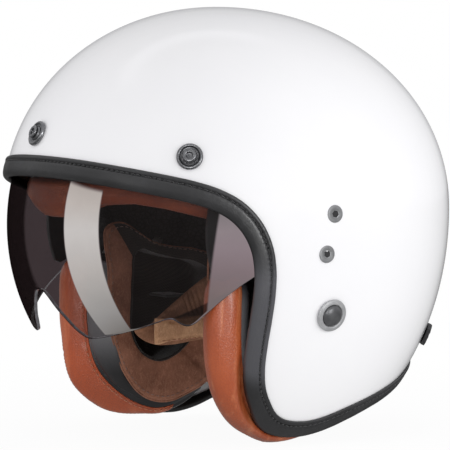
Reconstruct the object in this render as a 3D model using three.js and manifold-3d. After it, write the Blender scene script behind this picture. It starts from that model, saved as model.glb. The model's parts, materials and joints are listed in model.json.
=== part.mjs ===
// Open face motorcycle helmet, size M: moulded shell, energy liner, wrapped edge trim, drop-down
// sun visor on two pivots, padded lining, chin strap with double D-rings, press studs for a peak
// and a goggle strap retainer.
// Millimetres, +Z up, the wearer looks along -Y and the wearer's left is +X.
// The origin is the middle of the bounding box in X and Y, at the level of the lowest point.
// Everything is built about the shell's own centre and moved by SHIFT when it is added.
import * as THREE from "three";
import { mergeVertices } from "three/addons/utils/BufferGeometryUtils.js";
import Module from "manifold-3d";

// ---- driving dimensions ------------------------------------------------------------------------
const HALF_WIDTH = 124.35; // outer shell, from the middle plane
const FRONT_REACH = 128.33; // outer shell, widest level to front
const REAR_REACH = 144.36;
const CROWN_RISE = 120.61;
const LOWER_DROP = 163.23; // where the lower half would close if it weren't cut off
const FULLNESS = 2.04; // 2 is a plain ellipsoid
const SHELL_T = 2.25;
const SHELL_RIM = 10.4; // shell's rim, past the edge line towards the opening
const LINER_GAP = 1.3; // shell to energy liner
const LINER_TOP_T = 30; // liner's inner face under the outer surface, crown and temples
const LINER_CHEEK_T = 12; // the same beside the cheeks and the neck
const TRIM_W = 12.6; // visible width of the wrapped trim
const WELT_W = 3.0; // raised lip along the trim's outer edge
const VISOR_HALF_WIDTH = 117.0; // visor: a curve turned about the pivot line
const VISOR_REACH = 126.2; // pivot line to the visor in the middle plane
const VISOR_FULLNESS = 2.22;
const VISOR_T = 2.2;
const VISOR_TOP_DEG = -24; // angle under the horizontal through the pivots, forward
const PIVOT_Y = 2.0;
const PIVOT_Z = -9.5;
const STUD_R = 7.65;
const STRAP_X = 52.6; // middle of the strap's thickness
const STRAP_Z = -76;
const STRAP_W = 16;
const SHIFT = [0, -8.382, 131.486];

// ---- materials ---------------------------------------------------------------------------------
const finish = (color, roughness = 0.6) => ({ color, roughness });
const metal = (color) => ({ color, roughness: 0.6, metalness: 1 });
const MATERIALS = {
  visor: { ...finish(0x3a3638, 0.1), transparent: true, opacity: 0.5 },
  visorArm: finish(0x1b1b1c),
  pivotPin: finish(0x55585c),
  basePlate: finish(0x232324),
  shell: finish(0xf4f4f2, 0.15),
  energyLiner: finish(0x1c1c1e, 0.9),
  trim: finish(0x343437, 0.7),
  welt: finish(0x2b2b2d, 0.7),
  snapRing: metal(0x4a4c50),
  snapPost: metal(0x3c3e42),
  screw: metal(0x77797c),
  rivetWasher: metal(0x9a9c9e),
  rivetCap: metal(0x38393c),
  strapPlate: metal(0x6b6d70),
  crownLiner: finish(0x2a2320, 0.95),
  browBand: finish(0xa65530, 0.55),
  neckRoll: finish(0x5a4032, 0.95),
  cheekRoll: finish(0xa65530, 0.5),
  cheekBand: finish(0x1d1c1d, 0.8),
  cheekPad: finish(0x6e4b3a, 0.95),
  padCarrier: finish(0x19191a, 0.8),
  strapRoot: finish(0x232325),
  strapCover: finish(0x8a6446, 0.95),
  strapWeb: finish(0x1d1d1f),
  dRing: metal(0x8d9094),
  retainer: finish(0x202021, 0.7),
};

// ---- mesh tools --------------------------------------------------------------------------------
const { clamp, lerp, smoothstep, mapLinear, degToRad, radToDeg } = THREE.MathUtils;
const vec = (x, y, z) => new THREE.Vector3(x, y, z);
const LEFTWARD = vec(1, 0, 0);
const SIDES = [1, -1]; // left, right
const root = new THREE.Group();
root.name = "open_face_helmet";

const wasm = await Module();
wasm.setup();

function toManifold(geometry) {
  const bare = geometry.clone();
  bare.deleteAttribute("normal");
  bare.deleteAttribute("uv");
  const merged = mergeVertices(bare, 1e-4);
  return new wasm.Manifold(
    new wasm.Mesh({
      numProp: 3,
      vertProperties: merged.attributes.position.array,
      triVerts: new Uint32Array(merged.index.array),
    }),
  );
}

function fromManifold(body) {
  const mesh = body.getMesh();
  const positions = new Float32Array(mesh.numVert * 3);
  for (let i = 0; i < mesh.numVert; i++) {
    const start = i * mesh.numProp;
    positions.set(mesh.vertProperties.subarray(start, start + 3), i * 3);
  }
  return new THREE.BufferGeometry()
    .setAttribute("position", new THREE.BufferAttribute(positions, 3))
    .setIndex(new THREE.BufferAttribute(new Uint32Array(mesh.triVerts), 1));
}

const cut = (body, ...tools) =>
  fromManifold(tools.reduce((rest, tool) => rest.subtract(toManifold(tool)), toManifold(body)));
const join = (a, b) => fromManifold(toManifold(a).add(toManifold(b)));

// A closed mesh from points and index triples, turned so that its volume is positive.
function solid(points, triples) {
  let volume = 0;
  for (let i = 0; i < triples.length; i += 3) {
    const [a, b, c] = [points[triples[i]], points[triples[i + 1]], points[triples[i + 2]]];
    volume += a.dot(b.clone().cross(c));
  }
  if (volume < 0) {
    for (let i = 0; i < triples.length; i += 3) {
      [triples[i + 1], triples[i + 2]] = [triples[i + 2], triples[i + 1]];
    }
  }
  const positions = new Float32Array(points.length * 3);
  points.forEach((point, i) => point.toArray(positions, i * 3));
  return new THREE.BufferGeometry()
    .setAttribute("position", new THREE.BufferAttribute(positions, 3))
    .setIndex(triples);
}

// Stations of equal closed sections, joined in order; looped, or closed at both ends.
function sweep(stations, looped) {
  const count = stations.length;
  const size = stations[0].length;
  const points = stations.flat();
  const triples = [];
  for (let i = 0; i < (looped ? count : count - 1); i++) {
    const here = i * size;
    const next = ((i + 1) % count) * size;
    for (let j = 0; j < size; j++) {
      const k = (j + 1) % size;
      triples.push(here + j, here + k, next + k, here + j, next + k, next + j);
    }
  }
  if (!looped) {
    for (const end of [0, count - 1]) {
      const sum = stations[end].reduce((total, point) => total.add(point), vec(0, 0, 0));
      const middle = points.push(sum.multiplyScalar(1 / size)) - 1;
      for (let j = 0; j < size; j++) {
        const a = end * size + j;
        const b = end * size + ((j + 1) % size);
        triples.push(middle, ...(end === 0 ? [b, a] : [a, b]));
      }
    }
  }
  return solid(points, triples);
}

// Two sheets on one grid, closed round their border. facesAt(u, v, column) gives the outer and
// the inner point; u and v run from 0 to 1 over the rows and the columns.
function panel(rowSteps, columnSteps, facesAt) {
  const outer = [];
  const inner = [];
  for (let i = 0; i <= rowSteps; i++) {
    for (let j = 0; j <= columnSteps; j++) {
      const [outerPoint, innerPoint] = facesAt(i / rowSteps, j / columnSteps, j);
      outer.push(outerPoint);
      inner.push(innerPoint);
    }
  }
  const n = columnSteps + 1;
  const offset = outer.length;
  const triples = [];
  const quad = (a, b, c, d) => triples.push(a, b, c, a, c, d);
  for (let i = 0; i < rowSteps; i++) {
    for (let j = 0; j < columnSteps; j++) {
      const a = i * n + j;
      const b = offset + a;
      quad(a, a + 1, a + n + 1, a + n);
      quad(b, b + n, b + n + 1, b + 1);
    }
  }
  for (let j = 0; j < columnSteps; j++) {
    const a = rowSteps * n + j;
    quad(j + 1, j, offset + j, offset + j + 1);
    quad(a, a + 1, offset + a + 1, offset + a);
  }
  for (let i = 0; i < rowSteps; i++) {
    const first = i * n;
    const last = first + n - 1;
    quad(first, first + n, offset + first + n, offset + first);
    quad(last + n, last, offset + last, offset + last + n);
  }
  return solid([...outer, ...inner], triples);
}

// Two faces of nested rings that meet at the rim. With poles the rings fan out from them;
// without, the first ring is left open right through.
function bowl(outer, inner, outerPole, innerPole) {
  const n = outer[0].length;
  const points = [...outer.flat(), ...inner.flat()];
  const offset = outer.length * n;
  const rim = offset - n;
  const triples = [];
  for (let start = 0; start < rim; start += n) {
    for (let j = 0; j < n; j++) {
      const a = start + j;
      const b = start + ((j + 1) % n);
      const c = b + n;
      const d = a + n;
      triples.push(a, b, c, a, c, d);
      triples.push(offset + a, offset + c, offset + b, offset + a, offset + d, offset + c);
    }
  }
  for (let j = 0; j < n; j++) {
    const a = rim + j;
    const b = rim + ((j + 1) % n);
    triples.push(a, b, offset + b, a, offset + b, offset + a);
  }
  const pole = points.length;
  if (outerPole) points.push(outerPole, innerPole);
  for (let j = 0; j < n; j++) {
    const k = (j + 1) % n;
    if (outerPole) triples.push(pole, k, j, pole + 1, offset + j, offset + k);
    else triples.push(k, j, offset + j, k, offset + j, offset + k);
  }
  return solid(points, triples);
}

function add(name, geometry, material) {
  const mesh = new THREE.Mesh(geometry, new THREE.MeshStandardMaterial(material));
  mesh.name = name;
  geometry.translate(...SHIFT);
  root.add(mesh);
}

function mirrored(geometry) {
  const loose = geometry.index ? geometry.toNonIndexed() : geometry.clone();
  const positions = loose.scale(-1, 1, 1).attributes.position.array;
  // Two corners of each triangle change places, so that it still faces outwards.
  for (let i = 0; i < positions.length; i += 9) {
    for (let k = i + 3; k < i + 6; k++) {
      [positions[k], positions[k + 3]] = [positions[k + 3], positions[k]];
    }
  }
  const bare = new THREE.BufferGeometry();
  return mergeVertices(bare.setAttribute("position", new THREE.BufferAttribute(positions, 3)), 1e-4);
}

function pair(name, geometry, material) {
  const other = mirrored(geometry);
  add(name + "_left", geometry, material);
  add(name + "_right", other, material);
}

// Turns a shape made along +Z so that +Z lies along a unit direction, and moves it to a point.
function place(geometry, point, direction) {
  const turn = new THREE.Quaternion().setFromUnitVectors(vec(0, 0, 1), direction);
  return geometry.applyQuaternion(turn).translate(point.x, point.y, point.z);
}

// A profile of [radius, height] turned about +Z.
function turned(profile, segments) {
  const outline = profile.map(([radius, height]) => new THREE.Vector2(radius, height));
  const lathe = new THREE.LatheGeometry(outline, segments).rotateX(Math.PI / 2);
  lathe.deleteAttribute("normal");
  lathe.deleteAttribute("uv");
  const merged = mergeVertices(lathe, 1e-4);
  const { position } = merged.attributes;
  const points = [];
  for (let i = 0; i < position.count; i++) points.push(vec(0, 0, 0).fromBufferAttribute(position, i));
  const triples = [];
  for (let i = 0; i < merged.index.count; i += 3) {
    const [a, b, c] = merged.index.array.slice(i, i + 3);
    if (a !== b && b !== c && a !== c) triples.push(a, b, c);
  }
  return solid(points, triples);
}

const rod = (radius, from, to, segments) =>
  new THREE.CylinderGeometry(radius, radius, to - from, segments)
    .rotateX(Math.PI / 2)
    .translate(0, 0, (from + to) / 2);
const box = (size, centre) => new THREE.BoxGeometry(...size).translate(...centre);

// Straight-line reading of [input, value] rows: carried on before the first, held after the last.
function lookUp(rows, input) {
  const found = rows.findIndex(([end]) => input <= end);
  if (found < 0) return rows.at(-1)[1];
  const i = Math.max(found, 1);
  return mapLinear(input, rows[i - 1][0], rows[i][0], rows[i - 1][1], rows[i][1]);
}

// ---- the shell's surface -----------------------------------------------------------------------
const reachY = (y) => (y < 0 ? FRONT_REACH : REAR_REACH);
const reachZ = (z) => (z > 0 ? CROWN_RISE : LOWER_DROP);
const terms = ({ x, y, z }) => [
  Math.abs(x) / HALF_WIDTH,
  Math.abs(y) / reachY(y),
  Math.abs(z) / reachZ(z),
];
// 0 at the centre, 1 on the surface.
const level = (point) => terms(point).reduce((sum, term) => sum + term ** FULLNESS, 0);
const onShell = (point) => point.clone().multiplyScalar(level(point) ** (-1 / FULLNESS));
// With one coordinate left at 0: how much of its own reach that coordinate has on the surface.
const reachLeft = (point) => Math.max(1 - level(point), 0) ** (1 / FULLNESS);
const shellX = (y, z) => HALF_WIDTH * reachLeft(vec(0, y, z));
const shellY = (x, z, side) => side * reachY(side) * reachLeft(vec(x, 0, z));

function normalAt(point) {
  const [a, b, c] = terms(point).map((term) => term ** (FULLNESS - 1));
  return vec(
    (Math.sign(point.x) * a) / HALF_WIDTH,
    (Math.sign(point.y) * b) / reachY(point.y),
    (Math.sign(point.z) * c) / reachZ(point.z),
  ).normalize();
}
const lift = (point, height) => point.clone().addScaledVector(normalAt(point), height);

// The point on the left side at depth under the shell whose side position is (y, z).
function sidePoint(y, z, depth) {
  let above = vec(shellX(y, z), y, z);
  for (let i = 0; i < 12; i++) {
    const reached = lift(above, -depth);
    const nextY = above.y + (y - reached.y);
    const nextZ = above.z + (z - reached.z);
    above = vec(shellX(nextY, nextZ), nextY, nextZ);
  }
  return lift(above, -depth);
}

// The surface point at height z in a direction measured from straight ahead, by halving.
function shellAtAzimuth(azimuth, z) {
  const axis = vec(0, 0, z);
  const direction = vec(Math.sin(azimuth), -Math.cos(azimuth), 0);
  let low = 0;
  let high = 200;
  for (let i = 0; i < 40; i++) {
    const middle = (low + high) / 2;
    if (level(axis.clone().addScaledVector(direction, middle)) < 1) low = middle;
    else high = middle;
  }
  return axis.addScaledVector(direction, low);
}

// A point at depth under the surface, solved so that the point itself is at height z.
function underShell(azimuth, z, depth) {
  let surfaceZ = z;
  let point;
  for (let i = 0; i < 14; i++) {
    point = lift(shellAtAzimuth(azimuth, surfaceZ), -depth);
    surfaceZ = clamp(surfaceZ + z - point.z, -LOWER_DROP + 8, CROWN_RISE - 3);
  }
  return point;
}

// ---- the edge line -----------------------------------------------------------------------------
// Side profile [y, z] of the trim's outer edge: the brow, round the ear side, under to the nape.
const EDGE = [
  [-123.5, 33.6], [-120.3, 32.8], [-116.6, 32.0], [-109.7, 30.1], [-101.6, 28.0], [-92.6, 25.7],
  [-82.7, 23.2], [-68.3, 19.5], [-60.6, 17.0], [-52.7, 13.2], [-44.5, 7.4], [-40.3, 2.3],
  [-35.8, -4.7], [-32.4, -11.8], [-29.9, -20.6], [-28.8, -29.6], [-28.6, -38.7], [-28.9, -47.8],
  [-29.3, -57.0], [-29.6, -66.3], [-29.6, -75.6], [-29.0, -85.0], [-27.0, -94.6],
  [-22.8, -104.0], [-17.2, -110.7], [-11.6, -115.2], [-4.9, -118.9], [1.1, -120.3],
  [6.7, -120.4], [17.3, -118.9], [28.4, -116.3], [39.7, -113.0], [52.2, -109.4], [66.4, -105.4],
  [84.8, -100.4], [98.0, -96.2], [108.0, -92.4], [114.0, -90.0], [118.0, -88.4], [122.0, -87.0],
  [126, -86],
];
const BROW_EDGE = EDGE.slice(0, 14); // the stretches where y only grows
const NAPE_EDGE = EDGE.slice(28);
const EDGE_N = 64; // points round the whole edge

// The edge from the middle plane out to x = 84, at the brow (side -1) or the nape (side 1).
function edgeAcross(side) {
  const profile = side < 0 ? BROW_EDGE : NAPE_EDGE;
  const points = [];
  for (let x = 0; x <= 84; x += 4) {
    let y = side * 100;
    for (let i = 0; i < 40; i++) y = y * 0.4 + shellY(x, lookUp(profile, y), side) * 0.6;
    points.push(vec(x, y, lookUp(profile, y)));
  }
  return points;
}

// The left half of the edge, brow to nape, evenly spaced.
function halfEdge() {
  const brow = edgeAcross(-1);
  const nape = edgeAcross(1).reverse();
  const side = [];
  const profile = EDGE.map(([y, z]) => vec(0, y, z));
  for (const { y, z } of new THREE.CatmullRomCurve3(profile, false, "centripetal").getPoints(400)) {
    const between = z < -60 ? y < nape[0].y - 2 : y > brow.at(-1).y + 2;
    const x = shellX(y, z);
    if (between && x > 20) side.push(vec(x, y, z));
  }
  const curve = new THREE.CatmullRomCurve3([...brow, ...side, ...nape], false, "centripetal");
  curve.arcLengthDivisions = 1200;
  const points = curve.getSpacedPoints(EDGE_N / 2);
  // two passes of light smoothing keep the line fair
  for (let pass = 0; pass < 2; pass++) {
    for (let i = 1; i < points.length - 1; i++) {
      const middle = points[i - 1].clone().add(points[i + 1]).multiplyScalar(0.5);
      points[i].lerp(middle, 0.35);
    }
  }
  return points;
}

// Points of the edge with, at each, the direction along the surface towards the opening.
function edgeFrames() {
  const left = halfEdge();
  const right = left.slice(1, -1).reverse().map(({ x, y, z }) => vec(-x, y, z));
  const edge = [...left, ...right].map((point) => onShell(point));
  edge[0].x = 0;
  edge[EDGE_N / 2].x = 0;
  return edge.map((point, i) => {
    const next = edge[(i + 1) % EDGE_N];
    const tangent = next.clone().sub(edge[(i + EDGE_N - 1) % EDGE_N]).normalize();
    const normal = normalAt(point);
    tangent.addScaledVector(normal, -tangent.dot(normal)).normalize();
    return { point, across: tangent.cross(normal) };
  });
}
const frames = edgeFrames();

// The point past the edge line along the surface, at a height above it.
const edgePoint = ({ point, across }, past, height) =>
  lift(onShell(point.clone().addScaledVector(across, past)), height);
// Directions from the centre to a rim; pastAt gives its place past the edge line at each point.
const rimDirections = (pastAt, every = 1) =>
  frames
    .filter((_, i) => i % every === 0)
    .map((frame) => edgePoint(frame, pastAt(frame.point), 0).normalize());

// ---- domes: bowls that follow the shell at given depths ----------------------------------------
const POLE = vec(0, Math.sin(degToRad(30)), Math.cos(degToRad(30))); // leans to the rear

function fromPole(direction, t) {
  const angle = POLE.angleTo(direction);
  return POLE.clone()
    .multiplyScalar(Math.sin((1 - t) * angle))
    .addScaledVector(direction, Math.sin(t * angle))
    .multiplyScalar(1 / Math.sin(angle));
}

// Depths are functions of the surface point and of t, 0 at the pole and 1 at the rim.
function dome(rim, rings, outerDepth, innerDepth, firstRing = 0.09) {
  const outer = [];
  const inner = [];
  for (let i = 0; i <= rings; i++) {
    const s = i / rings;
    const t = firstRing + (1 - firstRing) * (s + 0.42 * s * (1 - s)); // closer towards the rim
    const points = rim.map((direction) => onShell(fromPole(direction, t)));
    outer.push(points.map((point) => lift(point, -outerDepth(point, t))));
    inner.push(points.map((point) => lift(point, -innerDepth(point, t))));
  }
  const pole = onShell(POLE);
  const poleAt = (depth) => lift(pole, -depth(pole, 0));
  return bowl(outer, inner, poleAt(outerDepth), poleAt(innerDepth));
}

const linerRim = ({ y, z }) => lerp(5.5, -2, smoothstep(-z, 0, 22) * smoothstep(-y, -40, 10));
const linerDepth = ({ z }) => lerp(LINER_TOP_T, LINER_CHEEK_T, smoothstep(-z, 14, 36));

// ---- where the hardware sits -------------------------------------------------------------------
const shellPoint = (x, y, z) => onShell(vec(x, y, z));
const STUDS = {
  centre: shellPoint(0, -119.3, 45.7),
  left: shellPoint(97.3, -73.3, 33.9),
  right: shellPoint(-97.3, -73.3, 33.9),
};
// Left side; the right side mirrors them.
const SCREWS = { upper: shellPoint(124.2, 5.7, 1.3), lower: shellPoint(123.4, 0.9, -21.3) };
const RIVET = shellPoint(117, 7.7, -56.6);
const PIVOT = vec(0, PIVOT_Y, PIVOT_Z);
const SCREW_BORE_R = 2.5;
const onSide = ({ x, y, z }, side) => vec(x * side, y, z);
const rivetHole = (side, radius, from, segments) => {
  const point = onSide(RIVET, side);
  return place(rod(radius, from, 6, segments), point, normalAt(point));
};
// Opening for the chin strap, long in X.
const strapSlot = (length, x) => box([length, 22, 6], [x, RIVET.y, RIVET.z]);

// ---- sun visor ---------------------------------------------------------------------------------
// Radius about the pivot line at x, and x at a radius, on the visor's surface moved in by inset.
const visorRadius = (x, inset) =>
  (VISOR_REACH - inset) *
  Math.max(1 - (Math.abs(x) / (VISOR_HALF_WIDTH - inset)) ** VISOR_FULLNESS, 0) **
    (1 / VISOR_FULLNESS);
const visorX = (radius, inset) =>
  (VISOR_HALF_WIDTH - inset) *
  Math.max(1 - (radius / (VISOR_REACH - inset)) ** VISOR_FULLNESS, 0) ** (1 / VISOR_FULLNESS);
// The point at a radius from the pivot line, at an angle (radians) under straight ahead.
const aboutPivot = (x, radius, angle) =>
  vec(x, PIVOT_Y - radius * Math.cos(angle), PIVOT_Z - radius * Math.sin(angle));

// Lower edge, [distance from the middle, degrees under the horizontal], with a nose notch.
const LENS_LOWER = [
  [0, 16.2], [3, 16.3], [6, 17.0], [9.2, 18.5], [14, 21.3], [19.8, 24.4], [25, 27.6], [30, 29.8],
  [34, 30.6], [40, 30.7], [112, 30.7],
];
// Finger tab on the wearer's left, [x, degrees added].
const LENS_TAB = [
  [82, 0], [85, 0.6], [87, 4.6], [89, 5.9], [92, 5.9], [98, 4.1], [103, 2.3], [108, 0.6], [111, 0],
];
// Places of the lens's columns on the left half.
const LENS_X = [
  0, 3, 6, 9, 12, 16, 20, 25, 30, 34, 41, 49, 57, 65, 73, 79, 83, 85.5, 87, 89, 92, 97, 101, 105,
  108, 110,
];

function sunVisor() {
  const columns = [...LENS_X.slice(1).reverse().map((x) => -x), ...LENS_X];
  return panel(7, columns.length - 1, (u, v, column) => {
    const x = columns[column];
    const tab = x > LENS_TAB[0][0] ? lookUp(LENS_TAB, x) : 0;
    const angle = degToRad(lerp(VISOR_TOP_DEG, lookUp(LENS_LOWER, Math.abs(x)) + tab, u));
    // the inner sheet's columns are drawn in with its width
    return [0, VISOR_T].map((inset) => {
      const columnX = (x * (VISOR_HALF_WIDTH - inset)) / VISOR_HALF_WIDTH;
      return aboutPivot(columnX, visorRadius(columnX, inset), angle);
    });
  });
}

// A leaf of the same turned surface just inside the lens, with a hub round the pivot pin.
function visorArm() {
  const BORE_R = 5.3;
  const HUB_R = 12.5;
  const ARM_LENGTH = 53; // beyond the hub
  const SEGMENTS = 32;
  const reachAt = (angle) => {
    const degrees = radToDeg(Math.atan2(Math.sin(angle), Math.cos(angle)));
    return HUB_R + ARM_LENGTH * smoothstep(degrees, -30, -19) * (1 - smoothstep(degrees, 24, 31));
  };
  const face = (inset) =>
    Array.from({ length: 5 }, (_, ring) =>
      Array.from({ length: SEGMENTS }, (_, j) => {
        const angle = (j / SEGMENTS) * 2 * Math.PI;
        const radius = lerp(BORE_R, reachAt(angle), ring / 4);
        return aboutPivot(visorX(radius, inset), radius, angle);
      }),
    );
  return bowl(face(VISOR_T + 0.5), face(VISOR_T + 3.3));
}

// [radius, distance from the middle plane]
const PIVOT_PIN = [
  [0, 108.2], [6.5, 108.2], [8.4, 108.9], [8.4, 110.3], [5, 110.3], [5, 115.2], [0, 115.2],
];
const BASE_PLATE = [[0, 115.6], [22.5, 115.6], [23.5, 116.4], [23.5, 118.0], [0, 118.0]];

function visorBasePlate() {
  const holes = Object.values(SCREWS).map((point) =>
    place(rod(SCREW_BORE_R, -12, 6, 12), point, LEFTWARD),
  );
  return cut(place(turned(BASE_PLATE, 28), PIVOT, LEFTWARD), ...holes);
}

add("sun_visor", sunVisor(), MATERIALS.visor);
pair("visor_arm", visorArm(), MATERIALS.visorArm);
pair("visor_pivot_pin", place(turned(PIVOT_PIN, 18), PIVOT, LEFTWARD), MATERIALS.pivotPin);
pair("visor_base_plate", visorBasePlate(), MATERIALS.basePlate);

// ---- outer shell -------------------------------------------------------------------------------
function outerShell() {
  const holes = Object.values(STUDS).map((point) =>
    place(rod(2.6, -8, 6, 12), point, normalAt(point)),
  );
  for (const screw of Object.values(SCREWS)) {
    for (const side of SIDES) {
      const point = onSide(screw, side);
      const outward = vec(side, 0, 0);
      holes.push(place(rod(5.4, -1.5, 6, 18), point, outward)); // counterbore
      holes.push(place(rod(SCREW_BORE_R, -8, 6, 12), point, outward));
    }
  }
  for (const side of SIDES) holes.push(rivetHole(side, 3.4, -8, 12));
  return cut(dome(rimDirections(() => SHELL_RIM), 10, () => 0, () => SHELL_T), ...holes);
}
add("outer_shell", outerShell(), MATERIALS.shell);

// ---- energy liner ------------------------------------------------------------------------------
// The space the visor swings in: a thick turned layer, from above the brow to under the lens.
function visorRecess() {
  const halfWidth = VISOR_HALF_WIDTH - 9.5;
  const reach = VISOR_REACH - 5.2;
  const power = 2 / VISOR_FULLNESS;
  return panel(12, 20, (u, v) => {
    const angle = degToRad(lerp(-83, 48, u));
    const sweepAngle = lerp(-84, 84, v);
    const sine = Math.abs(Math.sin(degToRad(sweepAngle))) ** power;
    const across = Math.sign(sweepAngle) * sine;
    const along = Math.cos(degToRad(sweepAngle)) ** power;
    return [40, 0].map((grow) =>
      aboutPivot(across * (halfWidth + grow), along * (reach + grow), angle),
    );
  });
}

// Cut for the visor, its base plates, the strap plates and the chin strap.
function energyLiner() {
  const tools = [visorRecess()];
  for (const side of SIDES) {
    tools.push(place(rod(29, 104, 140, 28), PIVOT, vec(side, 0, 0)));
    tools.push(rivetHole(side, 12, -6.2, 24));
    tools.push(strapSlot(60, side * 92));
  }
  return cut(dome(rimDirections(linerRim, 2), 10, () => SHELL_T + LINER_GAP, linerDepth), ...tools);
}
add("energy_liner", energyLiner(), MATERIALS.energyLiner);

// ---- edge trim ---------------------------------------------------------------------------------
// Sections [past the edge line towards the opening, height above the outer surface].
// The trim is a U of sheet round the shell's edge; the welt is a lip on its outer border.
const TRIM = [
  [3.3, 0.4], [3.3, 1.5], [6.5, 1.75], [9.6, 1.55], [11.6, 0.75], [TRIM_W, -1.1], [11.9, -2.6],
  [10.6, -3.3], [7.6, -3.3], [7.6, -2.7], [11.0, -2.7], [11.3, -1.0], [10.9, 0.4],
];
const WELT = [[0, 0.4], [0.25, 1.25], [1.5, 1.75], [2.8, 1.35], [WELT_W, 0.4]];
const alongEdge = (section) =>
  sweep(frames.map((frame) => section.map(([past, height]) => edgePoint(frame, past, height))), true);
add("edge_trim", alongEdge(TRIM), MATERIALS.trim);
add("trim_welt", alongEdge(WELT), MATERIALS.welt);

// ---- press studs, side screws and strap rivets -------------------------------------------------
// Profiles [radius, height above the shell's surface].
const STUD_RING = [
  [4.5, 0.3], [4.5, 1.2], [4.9, 1.7], [6.2, 2.3], [STUD_R - 0.3, 1.9], [STUD_R, 0.8],
  [STUD_R - 0.5, 0.3], [4.5, 0.3],
];
const STUD_POST = [
  [0, 3.0], [1.7, 3.0], [1.9, 4.4], [3.5, 4.4], [3.9, 3.9], [3.4, 2.4], [4.2, 1.6], [4.2, 0.3],
  [2.2, 0.3], [2.2, -2.3], [0, -2.3],
];
const SIDE_SCREW = [
  [0, -0.7], [1.75, -0.7], [1.75, 0.35], [4.7, 0.35], [5.1, -0.1], [5.1, -1.3], [2.1, -1.3],
  [2.1, -8.0], [0, -8.0],
];
const RIVET_WASHER = [
  [6.6, 0.5], [6.6, 1.9], [7.2, 2.1], [9.3, 1.5], [9.6, 0.9], [9.3, 0.5], [6.6, 0.5],
];
const RIVET_CAP = [
  [0, 4.3], [1.8, 4.2], [3.6, 3.8], [5.4, 3.0], [6.3, 1.8], [6.3, 0.4], [3.0, 0.4], [3.0, -2.9],
  [0, -2.9],
];
const STRAP_PLATE = [[0, -5.2], [9.0, -5.2], [9.4, -4.9], [9.4, -3.6], [0, -3.6]];

for (const [side, point] of Object.entries(STUDS)) {
  const normal = normalAt(point);
  add("stud_ring_" + side, place(turned(STUD_RING, 24), point, normal), MATERIALS.snapRing);
  add("stud_post_" + side, place(turned(STUD_POST, 18), point, normal), MATERIALS.snapPost);
}
for (const [height, point] of Object.entries(SCREWS)) {
  pair("side_screw_" + height, place(turned(SIDE_SCREW, 18), point, LEFTWARD), MATERIALS.screw);
}
const atRivet = (profile, segments) => place(turned(profile, segments), RIVET, normalAt(RIVET));
pair("rivet_washer", atRivet(RIVET_WASHER, 18), MATERIALS.rivetWasher);
pair("rivet_cap", atRivet(RIVET_CAP, 18), MATERIALS.rivetCap);
pair("strap_plate", atRivet(STRAP_PLATE, 24), MATERIALS.strapPlate);

// ---- lining: crown, brow band, neck roll -------------------------------------------------------
function crownLiner() {
  const RIM_N = 40;
  const OUTER_DEPTH = LINER_TOP_T + 1.9;
  const rim = Array.from({ length: RIM_N }, (_, j) => {
    const azimuth = (j / RIM_N) * 2 * Math.PI;
    const front = (1 + Math.cos(azimuth)) / 2; // 1 straight ahead, 0 at the rear
    const raised = lerp(-4, 43, smoothstep(front, 0.35, 0.62));
    const z = raised - 16 * smoothstep(1 - front, 0.6, 1);
    return underShell(azimuth, z, LINER_TOP_T).normalize();
  });
  // the padding thins out at the rim
  const innerDepth = (_, t) => OUTER_DEPTH + 8.3 * (1 - 0.85 * smoothstep(t, 0.93, 1.0));
  return dome(rim, 7, () => OUTER_DEPTH, innerDepth, 0.14);
}

const halfRound = (t) => Math.sqrt(Math.max(1 - (2 * t - 1) ** 2, 0));

function browBand() {
  return panel(5, 22, (u, v) => {
    const azimuth = degToRad(lerp(-66, 66, v));
    const low = 2.5 - 6.5 * smoothstep(Math.abs(azimuth), degToRad(25), degToRad(62));
    const z = lerp(low, 34, u);
    const bulge = halfRound(u) * Math.min(1, 2.2 * halfRound(v) + 0.1);
    return [
      underShell(azimuth, z, LINER_TOP_T + 1.2),
      underShell(azimuth, z, LINER_TOP_T + 4.0 + 8.0 * bulge),
    ];
  });
}

function neckRoll() {
  return panel(6, 22, (u, v) => {
    const azimuth = degToRad(180 + lerp(-46, 46, v));
    const fromRear = Math.abs(azimuth - Math.PI);
    const z = lerp(-88 - 14 * smoothstep(fromRear, degToRad(12), degToRad(46)), -34, u);
    const bulge = halfRound(u) * Math.min(1, 1.8 * halfRound(v) + 0.15);
    const clear = smoothstep(z, -56, -38); // the energy liner thickens upwards here
    const depth = LINER_CHEEK_T + 2.2 + 9 * clear;
    return [
      underShell(azimuth, z, depth),
      underShell(azimuth, z, depth + 2.8 + (13 - 5 * clear) * bulge),
    ];
  });
}
add("crown_liner", crownLiner(), MATERIALS.crownLiner);
add("brow_band", browBand(), MATERIALS.browBand);
add("neck_roll", neckRoll(), MATERIALS.neckRoll);

// ---- cheek rolls and bands ---------------------------------------------------------------------
// The leather roll's centre line: x, y, z, half width across, half depth outwards.
const ROLL = [
  [89.5, -42.5, -30, 12.0, 13.0], [89.0, -45.0, -45, 13.0, 14.4], [88.7, -45.4, -60, 13.2, 14.6],
  [88.2, -45.0, -74, 13.2, 14.6], [87.0, -43.0, -87, 13.0, 14.5], [84.6, -38.4, -99, 12.6, 14.3],
  [80.6, -30.6, -108.6, 12.0, 14.0], [75.6, -20.6, -115.0, 11.2, 13.6],
  [71.2, -9.0, -118.0, 10.4, 13.2], [69.2, 3.0, -118.4, 10.0, 12.8],
  [69.2, 15.0, -116.6, 9.6, 12.0], [70.6, 27.0, -112.8, 8.4, 10.4],
];
const rollLine = ROLL.map(([x, y, z]) => vec(x, y, z));
const rollCurve = new THREE.CatmullRomCurve3(rollLine, false, "centripetal");

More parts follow.
